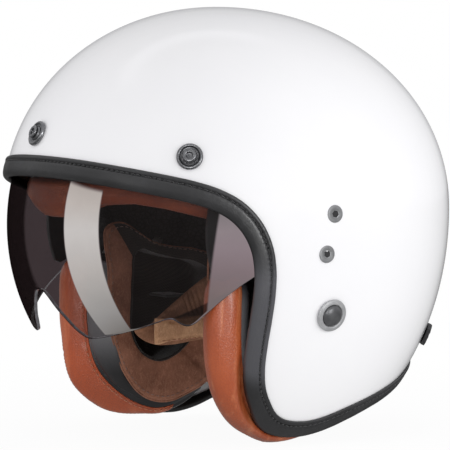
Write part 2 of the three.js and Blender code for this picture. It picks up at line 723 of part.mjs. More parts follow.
// Centre, outward direction (forward, then turning down), half width and half depth at u.
function rollAt(u) {
  const tangent = rollCurve.getTangent(u);
  const along = clamp(u, 0, 1) * (ROLL.length - 1);
  const i = Math.min(Math.floor(along), ROLL.length - 2);
  const [width, depth] = [3, 4].map((column) =>
    lerp(ROLL[i][column], ROLL[i + 1][column], along - i),
  );
  const outward = vec(0, tangent.z, -tangent.y).normalize();
  return { centre: rollCurve.getPoint(u), outward, width, depth };
}

// Factor that rounds off both ends over a length cap.
const endTaper = (u, cap) =>
  Math.sqrt(Math.max(1 - Math.max(0, (cap - u) / cap, (u - 1 + cap) / cap) ** 2, 0.05));

function cheekRoll() {
  const STEPS = 18;
  const SECTION_N = 12;
  const power = 2 / 2.3; // slightly squarer than an ellipse
  const squared = (value) => Math.sign(value) * Math.abs(value) ** power;
  const stations = Array.from({ length: STEPS + 1 }, (_, i) => {
    const u = i / STEPS;
    const { centre, outward, width, depth } = rollAt(u);
    const taper = endTaper(u, 0.09);
    return Array.from({ length: SECTION_N }, (_, j) => {
      const angle = (j / SECTION_N) * 2 * Math.PI;
      return centre
        .clone()
        .addScaledVector(LEFTWARD, squared(Math.cos(angle)) * width * taper)
        .addScaledVector(outward, squared(Math.sin(angle)) * depth * taper);
    });
  });
  // where the shell with its trim and the energy liner are, with a little room round them
  const shellRoom = dome(rimDirections(() => 13.7), 9, () => -4, () => 4.3);
  const linerRoom = dome(
    rimDirections((point) => linerRim(point) + 1.5, 2),
    9,
    () => -4,
    (point) => linerDepth(point) + 1.2,
  );
  return cut(sweep(stations, false), shellRoom, linerRoom);
}

// The dark side band between the roll and the cheek face.
function cheekBand() {
  const STEPS = 16;
  const stations = Array.from({ length: STEPS + 1 }, (_, i) => {
    const u = 0.02 + 0.96 * (i / STEPS);
    const { centre, outward, width, depth } = rollAt(u);
    const taper = 0.35 + 0.65 * endTaper(u, 0.08);
    const rollSide = centre.x - width - 0.4;
    const faceX = 58.8 + 1.4 * Math.max(0, (centre.z + 75) / 45);
    const headSide = Math.min(faceX, rollSide - 1.9);
    // [x, part of the roll's half depth]
    const section = [
      [rollSide, 0.14], [rollSide - 0.35 * (rollSide - headSide), -0.06],
      [headSide + 1.4, -0.42], [headSide, -0.62], [headSide, -0.92], [rollSide, -0.92],
    ];
    return section.map(([x, part]) => {
      const offset = part * depth * taper;
      return vec(x, centre.y + outward.y * offset, centre.z + outward.z * offset);
    });
  });
  return sweep(stations, false);
}
pair("cheek_roll", cheekRoll(), MATERIALS.cheekRoll);
pair("cheek_band", cheekBand(), MATERIALS.cheekBand);

// ---- cheek pads and their carriers -------------------------------------------------------------
// Outlines [y, z] seen from the side.
const PAD_EDGE = [
  [-30, -13], [-24, -12.5], [-17, -17], [-8, -23], [4, -26], [20, -28], [34, -33], [43, -43],
  [47, -58], [46, -74], [41, -88], [31, -98], [18, -102.5], [4, -103.5], [-8, -102], [-18, -97],
  [-25, -89], [-28.6, -78], [-29.5, -64], [-29.8, -48], [-30, -30],
];
const CARRIER_EDGE = [
  [-27, -17], [-20, -19], [0, -27], [20, -29], [36, -36], [46, -50], [47, -70], [42, -88],
  [30, -99], [14, -104], [0, -105.5], [-9, -103], [-17, -97], [-24, -88], [-27.5, -78],
  [-28.5, -64], [-28.5, -48], [-28.5, -30],
];
const PAD_MIDDLE = vec(0, 5, -62);
const PAD_FACE_X = 59.5; // the face towards the head
const CARRIER_DEPTH = LINER_CHEEK_T + 1.8;
const CARRIER_T = 1.7;

// Rings that grow from the pad's middle to an outline; each point is made by pointAt(point, t).
function padRings(outline, rings, pointAt) {
  const corners = outline.map(([y, z]) => vec(0, y, z));
  const curve = new THREE.CatmullRomCurve3(corners, true, "centripetal");
  const loop = curve.getSpacedPoints(30).slice(0, 30);
  return Array.from({ length: rings }, (_, i) => {
    const t = (i + 1) / rings;
    return loop.map((point) => pointAt(PAD_MIDDLE.clone().lerp(point, t), t));
  });
}
// A point at depth, deeper higher up, where the energy liner thickens.
const behindLiner = ({ y, z }, depth) => sidePoint(y, z, depth + 19 * smoothstep(z, -58, -36));

function cheekPad() {
  const body = bowl(
    padRings(PAD_EDGE, 5, (point) => behindLiner(point, LINER_CHEEK_T + 6.9)),
    padRings(PAD_EDGE, 5, ({ y, z }, t) => {
      const rounding = 9.5 * smoothstep(t, 0.74, 1.0) ** 2;
      return vec(PAD_FACE_X + rounding + 4 * smoothstep(z, -40, -15), y, z);
    }),
    sidePoint(PAD_MIDDLE.y, PAD_MIDDLE.z, LINER_CHEEK_T + 6.3),
    vec(PAD_FACE_X, PAD_MIDDLE.y, PAD_MIDDLE.z),
  );
  const earPocket = new THREE.CylinderGeometry(1, 1, 40, 28)
    .rotateZ(Math.PI / 2)
    .scale(1, 17, 27)
    .translate(64, -5, -65);
  return cut(body, earPocket, strapSlot(70, 88));
}

// A thin plate behind the pad and the roll.
function padCarrier() {
  const face = (depth) => padRings(CARRIER_EDGE, 3, (point) => behindLiner(point, depth));
  const pole = (depth) => sidePoint(PAD_MIDDLE.y, PAD_MIDDLE.z, depth);
  const depths = [CARRIER_DEPTH, CARRIER_DEPTH + CARRIER_T];
  return cut(bowl(...depths.map(face), ...depths.map(pole)), strapSlot(70, 88));
}
pair("cheek_pad", cheekPad(), MATERIALS.cheekPad);
pair("pad_carrier", padCarrier(), MATERIALS.padCarrier);

// ---- chin strap: folded back along the head side of each pad -----------------------------------
const WEB_T = 2.0;
const WEB_START_Y = 34.9;
const RIGHT_WEB_LENGTH = 20;

// A sleeve long in Y, with a rounded section in X and Z.
function strapCover() {
  const LENGTH = 48;
  const MIDDLE_Y = 10.5;
  const a = 4.6 / 2; // half thickness
  const b = 16.4 / 2; // half height
  const r = 2.2; // corner radius
  const shape = new THREE.Shape();
  shape.moveTo(-a + r, -b);
  shape.lineTo(a - r, -b);
  shape.quadraticCurveTo(a, -b, a, -b + r);
  shape.lineTo(a, b - r);
  shape.quadraticCurveTo(a, b, a - r, b);
  shape.lineTo(-a + r, b);
  shape.quadraticCurveTo(-a, b, -a, b - r);
  shape.lineTo(-a, -b + r);
  shape.quadraticCurveTo(-a, -b, -a + r, -b);
  return new THREE.ExtrudeGeometry(shape, { depth: LENGTH, bevelEnabled: false, curveSegments: 4 })
    .rotateX(Math.PI / 2)
    .translate(STRAP_X, MIDDLE_Y + LENGTH / 2, STRAP_Z);
}

const strapWeb = (x, length) =>
  box([WEB_T, length, STRAP_W], [x, WEB_START_Y + length / 2, STRAP_Z]);

// The longer web, with a round end.
function rightStrapWeb() {
  const end = new THREE.CylinderGeometry(STRAP_W / 2, STRAP_W / 2, WEB_T, 20)
    .rotateZ(Math.PI / 2)
    .translate(-STRAP_X, WEB_START_Y + RIGHT_WEB_LENGTH, STRAP_Z);
  return join(strapWeb(-STRAP_X, RIGHT_WEB_LENGTH), end);
}

// A D of round wire in a plane across X: the straight bar along Z, the bow to the rear.
function dRing(x) {
  const HALF_HEIGHT = 23 / 2;
  const BOW_DEPTH = 18;
  const WIRE_R = 1.6;
  const STEPS = 24;
  const line = [];
  for (let i = 0; i <= 10; i++) {
    const angle = degToRad(-90 + 18 * i);
    line.push(vec(0, BOW_DEPTH * Math.cos(angle), HALF_HEIGHT * Math.sin(angle)));
  }
  for (const part of [0.7, 0, -0.7]) line.push(vec(0, 0, HALF_HEIGHT * part));
  const curve = new THREE.CatmullRomCurve3(line, true, "centripetal");
  const stations = Array.from({ length: STEPS }, (_, i) => {
    const centre = curve.getPoint(i / STEPS);
    const across = curve.getTangent(i / STEPS).cross(LEFTWARD).normalize();
    return Array.from({ length: 6 }, (_, j) => {
      const angle = (j / 6) * 2 * Math.PI;
      return centre
        .clone()
        .addScaledVector(LEFTWARD, WIRE_R * Math.cos(angle))
        .addScaledVector(across, WIRE_R * Math.sin(angle));
    });
  });
  return sweep(stations, true).translate(x, 46.2, STRAP_Z);
}

// [radius, height above its seat]
const STRAP_SNAP = [[0, 0], [5.2, 0], [5.6, 0.5], [5.0, 1.6], [2.6, 2.2], [0, 2.3]];
const strapSnap = () =>
  place(turned(STRAP_SNAP, 24), vec(-STRAP_X + 1.3, 55, STRAP_Z), LEFTWARD);

pair("strap_root", box([44, 17, 2.0], [83.5, RIVET.y, RIVET.z]), MATERIALS.strapRoot);
pair("strap_cover", strapCover(), MATERIALS.strapCover);
add("strap_web_right", rightStrapWeb(), MATERIALS.strapWeb);
add("strap_web_left", strapWeb(STRAP_X, 6.8), MATERIALS.strapWeb);
add("d_ring_outer", dRing(STRAP_X + 2), MATERIALS.dRing);
add("d_ring_inner", dRing(STRAP_X - 2), MATERIALS.dRing);
add("strap_snap", strapSnap(), MATERIALS.snapPost);

// ---- goggle strap retainer at the nape ---------------------------------------------------------
// A curved bar, taller in the middle and narrowed at the tips.
function goggleRetainer() {
  const MIDDLE_Z = -76.5;
  const HALF_LENGTH = 59;
  return panel(5, 20, (u, v) => {
    const x = lerp(-HALF_LENGTH, HALF_LENGTH, v);
    const stem = 1 - smoothstep(Math.abs(x), 16, 24);
    const tip = 1 - 0.35 * smoothstep(Math.abs(x), 52, HALF_LENGTH);
    const low = MIDDLE_Z - (5.5 + 2.2 * stem) * tip;
    const high = MIDDLE_Z + (6.5 + 9.5 * stem) * tip;
    const z = lerp(low, high, u);
    const point = vec(x, shellY(x, z, 1), z);
    return [lift(point, 3.4), lift(point, 1.0)];
  });
}

// [radius, height above its seat]
const RETAINER_SNAP = [[0, 0], [6.4, 0], [6.6, 0.6], [5.8, 1.7], [3.2, 2.4], [0, 2.6]];
function retainerSnap() {
  const point = shellPoint(0, 131.5, -66);
  return place(turned(RETAINER_SNAP, 28), lift(point, 3.7), normalAt(point));
}
add("goggle_retainer", goggleRetainer(), MATERIALS.retainer);
add("retainer_snap", retainerSnap(), MATERIALS.snapRing);

export default root;
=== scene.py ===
import json
import math

import bmesh
import bpy
import numpy as np
from mathutils import Matrix, Vector

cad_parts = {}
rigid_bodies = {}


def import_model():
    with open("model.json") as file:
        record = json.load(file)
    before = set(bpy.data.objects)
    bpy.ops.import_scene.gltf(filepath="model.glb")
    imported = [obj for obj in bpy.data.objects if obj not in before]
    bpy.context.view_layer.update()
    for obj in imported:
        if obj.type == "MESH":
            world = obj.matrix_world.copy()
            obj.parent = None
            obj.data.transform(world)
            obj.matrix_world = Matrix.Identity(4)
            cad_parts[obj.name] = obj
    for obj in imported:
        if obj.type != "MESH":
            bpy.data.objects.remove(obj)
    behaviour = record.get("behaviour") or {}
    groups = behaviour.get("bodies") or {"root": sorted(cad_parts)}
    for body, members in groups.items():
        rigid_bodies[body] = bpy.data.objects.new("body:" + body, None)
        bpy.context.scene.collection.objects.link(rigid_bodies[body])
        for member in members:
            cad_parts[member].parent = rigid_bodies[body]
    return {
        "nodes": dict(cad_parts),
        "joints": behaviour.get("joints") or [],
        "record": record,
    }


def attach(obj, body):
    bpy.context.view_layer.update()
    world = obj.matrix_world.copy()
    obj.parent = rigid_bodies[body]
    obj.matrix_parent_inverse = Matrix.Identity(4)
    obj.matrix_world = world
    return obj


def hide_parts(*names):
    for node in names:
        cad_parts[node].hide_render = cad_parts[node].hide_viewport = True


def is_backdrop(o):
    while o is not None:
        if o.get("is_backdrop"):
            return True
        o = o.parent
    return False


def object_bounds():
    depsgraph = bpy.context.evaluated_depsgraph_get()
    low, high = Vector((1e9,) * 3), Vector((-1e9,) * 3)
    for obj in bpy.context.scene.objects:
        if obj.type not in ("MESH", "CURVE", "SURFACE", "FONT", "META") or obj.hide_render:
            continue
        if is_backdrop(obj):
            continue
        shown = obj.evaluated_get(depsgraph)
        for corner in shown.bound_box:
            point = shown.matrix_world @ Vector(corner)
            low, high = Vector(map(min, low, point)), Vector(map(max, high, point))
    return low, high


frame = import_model()
cad_box = [list(corner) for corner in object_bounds()]

MM = 0.001
PIVOT_Y, PIVOT_Z = 2.0, -9.5  # the visor's hinge axis, which runs along X
hinge = next(joint for joint in frame["joints"] if joint["name"] == "visor_hinge")
CENTRE = np.array(hinge["pos_m"]) * 1000 - np.array([0, PIVOT_Y, PIVOT_Z])
BODY = {
    node: body for body, nodes in frame["record"]["behaviour"]["bodies"].items() for node in nodes
}
SIDES = ((1, "left"), (-1, "right"))

scene = bpy.context.scene
for obj in list(bpy.data.objects):
    if obj.name in ("Cube", "Light", "Camera"):
        bpy.data.objects.remove(obj)

# ---- driving dimensions ----------------------------------------------------------------------
HALF_WIDTH, FRONT, REAR = 124.35, 128.33, 144.36  # the shell's reach from its centre
CROWN, LOWER_DROP = 120.61, 163.23
FULLNESS = 2.04  # exponent of the shell's rounded form
SHELL_THICK = 2.25
FOAM_TOP, FOAM_CHEEK = 30.0, 12.0  # depth of the energy liner's inner face under the surface
VISOR_HALF_WIDTH, VISOR_REACH, VISOR_POWER, VISOR_THICK = 117.0, 126.2, 2.22, 2.2
STRAP_X, STRAP_Z = 52.6, -76.0


# ---- arithmetic ------------------------------------------------------------------------------
def floats(*values):
    return np.broadcast_arrays(*[np.asarray(value, float) for value in values])


def xyz(x, y, z):
    return np.stack(floats(x, y, z), -1)


def unit(vector):
    return vector / np.maximum(np.linalg.norm(vector, axis=-1, keepdims=True), 1e-12)


def ease(value, start, end):
    """Smooth rise from 0 at the lower bound to 1 at the upper, in whichever order they come."""
    low, high = np.minimum(start, end), np.maximum(start, end)
    t = np.clip((np.asarray(value, float) - low) / (high - low), 0, 1)
    return t * t * (3 - 2 * t)


def lerp(start, end, t):
    return start + (end - start) * t


def bell(distance, width):
    return np.exp(-((distance / width) ** 2))


def turn(count):
    """Evenly spaced angles once round."""
    return np.linspace(0, 2 * np.pi, count, endpoint=False)


def value_noise(points, size, seed=0):
    """Smooth noise from -1 to 1 with cells of that size in mm; the same on every run."""
    points = np.asarray(points, float) / size + 1000.0
    cell = np.floor(points).astype(np.int64)
    part = points - cell
    part = part * part * (3 - 2 * part)
    primes = (73856093, 19349663, 83492791)
    total = 0
    for corner in np.ndindex(2, 2, 2):
        hashed = seed * 2654435
        for axis in range(3):
            hashed = hashed ^ (cell[..., axis] + corner[axis]) * primes[axis]
        hashed = (hashed ^ (hashed >> 13)) * 1274126177 & 0x7FFFFFFF
        value = ((hashed ^ (hashed >> 15)) & 0xFFFF) / 32767.5 - 1
        for axis in range(3):
            value = value * (part[..., axis] if corner[axis] else 1 - part[..., axis])
        total = total + value
    return total


# ---- the shell's surface ---------------------------------------------------------------------
def half_sizes(point):
    """The shell's reach along each axis, on the point's side of the centre."""
    return xyz(
        HALF_WIDTH,
        np.where(point[..., 1] < 0, FRONT, REAR),
        np.where(point[..., 2] > 0, CROWN, LOWER_DROP),
    )


def level(point):
    """1 on the shell's surface and less inside it."""
    return ((np.abs(point) / half_sizes(point)) ** FULLNESS).sum(-1)


def on_shell(point):
    return point * (level(point) ** (-1 / FULLNESS))[..., None]


def normal_at(point):
    half = half_sizes(point)
    return unit(np.sign(point) * (np.abs(point) / half) ** (FULLNESS - 1) / half)


def lift(point, height):
    return point + normal_at(point) * np.asarray(height, float)[..., None]


def side_x(y, z):
    return HALF_WIDTH * np.maximum(1 - level(xyz(0, y, z)), 0) ** (1 / FULLNESS)


def side_point(y, z, depth):
    """The point at y and z on the +X side, at that depth under the surface."""
    y, z, depth = floats(y, z, depth)
    point = xyz(side_x(y, z), y, z)
    for _ in range(12):
        sunk = lift(point, -depth)
        near_y, near_z = point[..., 1] + (y - sunk[..., 1]), point[..., 2] + (z - sunk[..., 2])
        point = xyz(side_x(near_y, near_z), near_y, near_z)
    return lift(point, -depth)


def point_at(azimuth, z, depth):
    """The point at an azimuth from straight ahead and a height, at that depth."""
    azimuth, z, depth = floats(azimuth, z, depth)
    surface_z = z.copy()
    for _ in range(14):
        low, high = np.zeros_like(z), np.full_like(z, 200.0)
        for _ in range(34):
            mid = (low + high) / 2
            inside = level(xyz(np.sin(azimuth) * mid, -np.cos(azimuth) * mid, surface_z)) < 1
            low, high = np.where(inside, mid, low), np.where(inside, high, mid)
        point = lift(xyz(np.sin(azimuth) * low, -np.cos(azimuth) * low, surface_z), -depth)
        surface_z = np.clip(surface_z + z - point[..., 2], -LOWER_DROP + 8, CROWN - 3)
    return point


def depth_of(point):
    """Depth under the surface to first order, refined twice, and the normal there."""
    foot = on_shell(point)
    for _ in range(2):
        normal = normal_at(foot)
        foot = on_shell(point + normal * np.sum((foot - point) * normal, -1, keepdims=True))
    normal = normal_at(foot)
    return np.sum((foot - point) * normal, -1), normal


# ---- curves ----------------------------------------------------------------------------------
def curve(points, t, closed=False):
    """Centripetal Catmull-Rom through points, at t from 0 to 1 by point index.

    Columns past the third ride along.
    """
    points = np.asarray(points, float)
    count = len(points)
    where = np.asarray(t, float) * (count if closed else count - 1)
    start = np.floor(where).astype(int)
    if closed:
        around = [points[(start + k) % count] for k in (-1, 0, 1, 2)]
    else:
        start = np.clip(start, 0, count - 2)
        padded = np.vstack([2 * points[0] - points[1], points, 2 * points[-1] - points[-2]])
        around = [padded[start + k] for k in range(4)]
    before, here, there, after = around
    part = (where - start)[..., None]
    gap_in, gap, gap_out = (
        np.maximum(np.linalg.norm((q - p)[..., :3], axis=-1, keepdims=True), 1e-9) ** 0.5
        for p, q in zip(around, around[1:])
    )
    leave = (here - before) / gap_in - (there - before) / (gap_in + gap) + (there - here) / gap
    leave = leave * gap
    reach = (there - here) / gap - (after - here) / (gap + gap_out) + (after - there) / gap_out
    reach = reach * gap
    square = -3 * here + 3 * there - 2 * leave - reach
    cube = 2 * here - 2 * there + leave + reach
    return here + leave * part + square * part**2 + cube * part**3


def spaced(points, count, closed=False):
    """Points evenly along that curve, with both ends included, or once round a loop."""
    t = np.linspace(0, 1, 60 * len(points) + 1)
    fine = curve(points, np.where(t >= 1, 0, t) if closed else t, closed)
    steps = np.linalg.norm(np.diff(fine[:, :3], axis=0), axis=1)
    length = np.concatenate([[0], np.cumsum(steps)])
    want = np.linspace(0, length[-1], count + closed)[: count]
    return np.stack([np.interp(want, length, column) for column in fine.T], 1)


def spaced_flat(points, count, closed=False):
    """The same for a table of two columns."""
    points = np.asarray(points, float)
    return spaced(np.hstack([np.zeros((len(points), 1)), points]), count, closed)[:, 1:]


def resampled(line, line_normals, count, closed=False):
    """A line and its normals at even spacing."""
    both = spaced(np.hstack([line, line_normals]), count, closed)
    return both[:, :3], unit(both[:, 3:])


# ---- the shell's edge line -------------------------------------------------------------------
# (y, z) from above the brow, down the front of the cheek and back along the bottom
EDGE = [
    [-123.5, 33.6], [-120.3, 32.8], [-116.6, 32.0], [-109.7, 30.1], [-101.6, 28.0], [-92.6, 25.7],
    [-82.7, 23.2], [-68.3, 19.5], [-60.6, 17.0], [-52.7, 13.2], [-44.5, 7.4], [-40.3, 2.3],
    [-35.8, -4.7], [-32.4, -11.8], [-29.9, -20.6], [-28.8, -29.6], [-28.6, -38.7],
    [-28.9, -47.8], [-29.3, -57.0], [-29.6, -66.3], [-29.6, -75.6], [-29.0, -85.0],
    [-27.0, -94.6], [-22.8, -104.0], [-17.2, -110.7], [-11.6, -115.2], [-4.9, -118.9],
    [1.1, -120.3], [6.7, -120.4], [17.3, -118.9], [28.4, -116.3], [39.7, -113.0],
    [52.2, -109.4], [66.4, -105.4], [84.8, -100.4], [98.0, -96.2], [108.0, -92.4],
    [114.0, -90.0], [118.0, -88.4], [122.0, -87.0], [126, -86],
]
BROW_EDGE, NAPE_EDGE = np.array(EDGE[:14]), np.array(EDGE[28:])


def edge_z(y):
    edge = BROW_EDGE if y < 0 else NAPE_EDGE
    if y < BROW_EDGE[0, 0]:
        first, second = BROW_EDGE[:2]
        return first[1] + (second[1] - first[1]) * (y - first[0]) / (second[0] - first[0])
    return float(np.interp(y, edge[:, 0], edge[:, 1]))


def edge_point(x, sign):
    """Where the edge line crosses the plane at x, at the front (-1) or the rear (1)."""
    y = sign * 100.0
    for _ in range(60):
        rest = 1 - float(level(np.array([x, 0.0, edge_z(y)])))
        reach = (FRONT if sign < 0 else REAR) * max(rest, 0) ** (1 / FULLNESS)
        y = y * 0.4 + 0.6 * sign * reach
    return [x, y, edge_z(y)]


def edge_loop():
    """The edge as a closed loop of 64 points."""
    brow = [edge_point(x, -1) for x in range(0, 85, 4)]
    nape = [edge_point(x, 1) for x in range(0, 85, 4)]
    cheek = []
    for _, y, z in curve([[0, y, z] for y, z in EDGE], np.linspace(0, 1, 401)):
        kept = y < nape[-1][1] - 2 if z < -60 else y > brow[-1][1] + 2
        if kept and side_x(y, z) > 20:
            cheek.append([float(side_x(y, z)), y, z])
    half = spaced(brow + cheek + nape[::-1], 33)
    for _ in range(2):
        for i in range(1, 32):
            half[i] = half[i] + 0.35 * ((half[i - 1] + half[i + 1]) / 2 - half[i])
    loop = np.vstack([half, (half[1:-1] * [-1, 1, 1])[::-1]])
    loop[[0, 32], 0] = 0
    return loop


EDGE_LOOP = edge_loop()


class EdgeLine:
    """The loop along the trim's outer edge; inward points along the shell to the opening."""

    def __init__(self, count):
        self.points = on_shell(spaced(EDGE_LOOP, count, closed=True))
        self.normals = normal_at(self.points)
        tangent = unit(np.roll(self.points, -1, 0) - np.roll(self.points, 1, 0))
        tangent = unit(
            tangent - self.normals * np.sum(tangent * self.normals, -1, keepdims=True)
        )
        self.inward = np.cross(self.normals, tangent)
        if self.inward[0, 2] > 0:
            self.inward = -self.inward

    def offset(self, distance, height):
        moved = self.points + self.inward * np.asarray(distance, float)[..., None]
        return lift(on_shell(moved), height)


coarse_edge = EdgeLine(720)


def past_edge(points):
    """How far each point is past the edge line, towards the opening."""
    feet = on_shell(points)
    flat = feet.reshape(-1, 3)
    out = np.empty(len(flat))
    for i in range(0, len(flat), 4000):  # in blocks, to limit memory
        block = flat[i : i + 4000]
        squares = ((block[:, None, :] - coarse_edge.points[None, ::3]) ** 2).sum(-1)
        near = squares.argmin(1) * 3
        offset = block - coarse_edge.points[near]
        out[i : i + 4000] = np.sum(offset * coarse_edge.inward[near], -1)
    return out.reshape(feet.shape[:-1])


def foam_rim(points):
    """How far past the edge line the energy liner reaches."""
    y, z = points[..., 1], points[..., 2]
    low = lerp(5.5, -2, ease(-z, 0, 22) * ease(-y, -40, 10))
    return np.where(z > 0, 5.5, low)


def foam_depth(points):
    return lerp(FOAM_TOP, FOAM_CHEEK, ease(-points[..., 2], 14, 36))


# ---- sections and sheets as (vertices, faces) ------------------------------------------------
def quads(rows, cols, wrap_rows=False, wrap_cols=False):
    i, j = np.meshgrid(
        np.arange(rows if wrap_rows else rows - 1),
        np.arange(cols if wrap_cols else cols - 1),
        indexing="ij",
    )
    i, j = i.ravel(), j.ravel()
    row, next_row = i * cols, ((i + 1) % rows) * cols
    next_j = (j + 1) % cols
    return np.stack([row + j, row + next_j, next_row + next_j, next_row + j], 1).tolist()


def turned_over(faces, offset):
    """The same faces on a second sheet, facing the other way."""
    return [[a + offset, d + offset, c + offset, b + offset] for a, b, c, d in faces]


def tube(rings, looped=False):
    """Joins closed rings, shape (rows, points, 3); open ends are closed by a fan."""
    rings = np.asarray(rings, float)
    rows, cols = rings.shape[:2]
    faces = quads(rows, cols, wrap_rows=looped, wrap_cols=True)
    verts = rings.reshape(-1, 3)
    if not looped:
        verts = np.vstack([verts, rings[0].mean(0), rings[-1].mean(0)])
        start, end, last = rows * cols, rows * cols + 1, (rows - 1) * cols
        for j in range(cols):
            k = (j + 1) % cols
            faces.append([start, k, j])
            faces.append([end, last + j, last + k])
    return verts, faces


def sheet_pair(outer, inner):
    """Two sheets on the same grid, closed round the border, whose faces come last."""
    rows, cols = outer.shape[:2]
    count = rows * cols
    sheet = quads(rows, cols)
    border = []
    for j in range(cols - 1):
        a, b = (rows - 1) * cols + j, (rows - 1) * cols + j + 1
        border.append([j + 1, j, count + j, count + j + 1])
        border.append([a, b, count + b, count + a])
    for i in range(rows - 1):
        a, b = i * cols, (i + 1) * cols
        border.append([a, b, count + b, count + a])
        a, b = a + cols - 1, b + cols - 1
        border.append([b, a, count + a, count + b])
    verts = np.vstack([outer.reshape(-1, 3), inner.reshape(-1, 3)])
    return verts, sheet + turned_over(sheet, count) + border


def bowl(outer, inner, poles=None):
    """Two sheets closed round their last row; the first is closed at two poles or as a bore."""
    rows, cols = outer.shape[:2]
    count = rows * cols
    sheet = quads(rows, cols, wrap_cols=True)
    faces = sheet + turned_over(sheet, count)
    verts = [outer.reshape(-1, 3), inner.reshape(-1, 3)]
    last = (rows - 1) * cols
    around = [(j, (j + 1) % cols) for j in range(cols)]
    for j, k in around:
        faces.append([last + j, last + k, count + last + k, count + last + j])
    if poles is not None:
        verts.append(np.reshape(poles, (2, 3)))
    for j, k in around:
        if poles is None:
            faces.append([k, j, count + j, count + k])
        else:
            faces.append([2 * count, k, j])
            faces.append([2 * count + 1, count + j, count + k])
    return np.vstack(verts), faces


POLE = np.array([0, math.sin(math.radians(30)), math.cos(math.radians(30))])


def dome(rim, rows, outer_depth, inner_depth, first):
    """Two sheets from the crown's pole down to a rim of directions."""
    share = np.linspace(0, 1, rows + 1)
    t = first + (1 - first) * (share + 0.3 * share * (1 - share))
    t_grid = t[:, None, None]
    rim = unit(rim)
    angle = np.arccos(np.clip(rim @ POLE, -1, 1))[..., None]
    arc = (np.sin((1 - t_grid) * angle) * POLE + np.sin(t_grid * angle) * rim) / np.sin(angle)
    points = on_shell(arc)
    shares = t[:, None] * np.ones(points.shape[:2])
    pole, zero = on_shell(POLE[None]), np.zeros(1)
    depths = (outer_depth, inner_depth)
    outer, inner = (lift(points, -depth(points, shares)) for depth in depths)
    return bowl(outer, inner, [lift(pole, -depth(pole, zero)) for depth in depths])


def lathe(profile, segments):
    """A profile of (radius, height) turned about +Z; a ring if it doesn't start on the axis."""
    angle = turn(segments)
    verts, faces, rows = [], [], []
    for radius, height in profile:
        start = len(verts)
        if radius < 1e-6:
            rows.append([start] * segments)
            verts.append([0, 0, height])
        else:
            rows.append(range(start, start + segments))
            verts += xyz(radius * np.cos(angle), radius * np.sin(angle), height).tolist()
    if profile[0][0] > 1e-6:
        rows.append(rows[0])
    for a, b in zip(rows[:-1], rows[1:]):
        for j in range(segments):
            k = (j + 1) % segments
            faces.append(list(dict.fromkeys((a[j], b[j], b[k], a[k]))))
    return np.array(verts), faces


def rounded(profile, radius):
    """Rounds the corners of a profile, with three points to a corner."""
    out = [profile[0]]
    for corner in zip(profile[:-2], profile[1:-1], profile[2:]):
        a, b, c = np.array(corner, float)
        to_a, to_c = np.linalg.norm(a - b), np.linalg.norm(c - b)
        cut = min(radius, to_a * 0.45, to_c * 0.45)
        start, end = b + (a - b) / to_a * cut, b + (c - b) / to_c * cut
        for t in (0.0, 0.5, 1.0):
            out.append(tuple((1 - t) ** 2 * start + 2 * t * (1 - t) * b + t * t * end))
    out.append(profile[-1])
    return out


def placed(verts, origin, direction, spin=0.0):
    """Moves vertices to the origin, with +Z turned to the direction."""
    z_axis = unit(np.asarray(direction, float))
    x_axis = unit(np.cross([0, 0, 1.0] if abs(z_axis[2]) < 0.9 else [0, 1.0, 0], z_axis))
    y_axis = np.cross(z_axis, x_axis)
    cos, sin = math.cos(spin), math.sin(spin)
    x, y, z = np.asarray(verts, float).T
    spun = xyz(x * cos - y * sin, x * sin + y * cos, z)
    return spun @ np.stack([x_axis, y_axis, z_axis]) + np.asarray(origin, float)


def cord(line, line_normals, radius, rise, sides=12, closed=True):
    """A round cord along a line; an open one tapers at its ends."""
    taper = 1.0
    if closed:
        tangent = unit(np.roll(line, -1, 0) - np.roll(line, 1, 0))
    else:
        tangent = unit(np.gradient(line, axis=0))
        index = np.arange(len(line))
        taper = np.minimum(1, np.minimum(index, index[::-1]) / 3 + 0.3)[:, None, None]
    across = unit(np.cross(tangent, line_normals))
    out = np.cross(across, tangent)
    cos, sin = np.cos(turn(sides))[:, None], np.sin(turn(sides))[:, None]
    rings = radius * taper * (cos * across[:, None, :] + sin * out[:, None, :])
    return tube((line + out * rise)[:, None, :] + rings, looped=closed)


# (place along the stitch, from -1 to 1; share of its radius)
STITCH = [(-0.93, 0.55), (-0.72, 0.9), (-0.35, 1.0), (0.35, 1.0), (0.72, 0.9), (0.93, 0.55)]


def stitches(path, path_normals, length=2.3, gap=1.1, radius=0.28, rise=0.0, closed=False):
    """Short plump capsules laid along a path, each a closed body of its own."""
    if closed:
        path, path_normals = (np.vstack([line, line[:1]]) for line in (path, path_normals))
    steps = np.linalg.norm(np.diff(path, axis=0), axis=1)
    run = np.concatenate([[0], np.cumsum(steps)])
    count = max(int(run[-1] / (length + gap)), 1)
    pitch = run[-1] / count

    def sample(line, place):
        return np.array([np.interp(place, run, column) for column in line.T])

    cos, sin = np.cos(turn(8))[:, None], np.sin(turn(8))[:, None]
    parts = []
    for i in range(count):
        middle = (i + 0.5) * pitch
        start, end = sample(path, middle - length / 2), sample(path, middle + length / 2)
        centre, normal = sample(path, middle), unit(sample(path_normals, middle))
        tangent = unit(end - start)
        across = unit(np.cross(normal, tangent))
        normal = np.cross(tangent, across)
        rings = [
            centre + tangent * place * length / 2
            + radius * share * (cos * across + sin * normal)
            + normal * (rise - 0.45 * radius * place * place)
            for place, share in STITCH
        ]
        parts.append(tube(rings))
    return parts


# ---- objects ---------------------------------------------------------------------------------
def link_mesh(name, verts, faces, material_index=None):
    mesh = bpy.data.meshes.new(name)
    mesh.from_pydata(((verts + CENTRE) * MM).tolist(), [], faces)
    if material_index is not None:
        mesh.polygons.foreach_set("material_index", np.asarray(material_index, np.int32))
    mesh.update()
    obj = bpy.data.objects.new(name, mesh)
    scene.collection.objects.link(obj)
    smooth(obj)
    return obj


def smooth(obj):
    obj.data.polygons.foreach_set("use_smooth", [True] * len(obj.data.polygons))


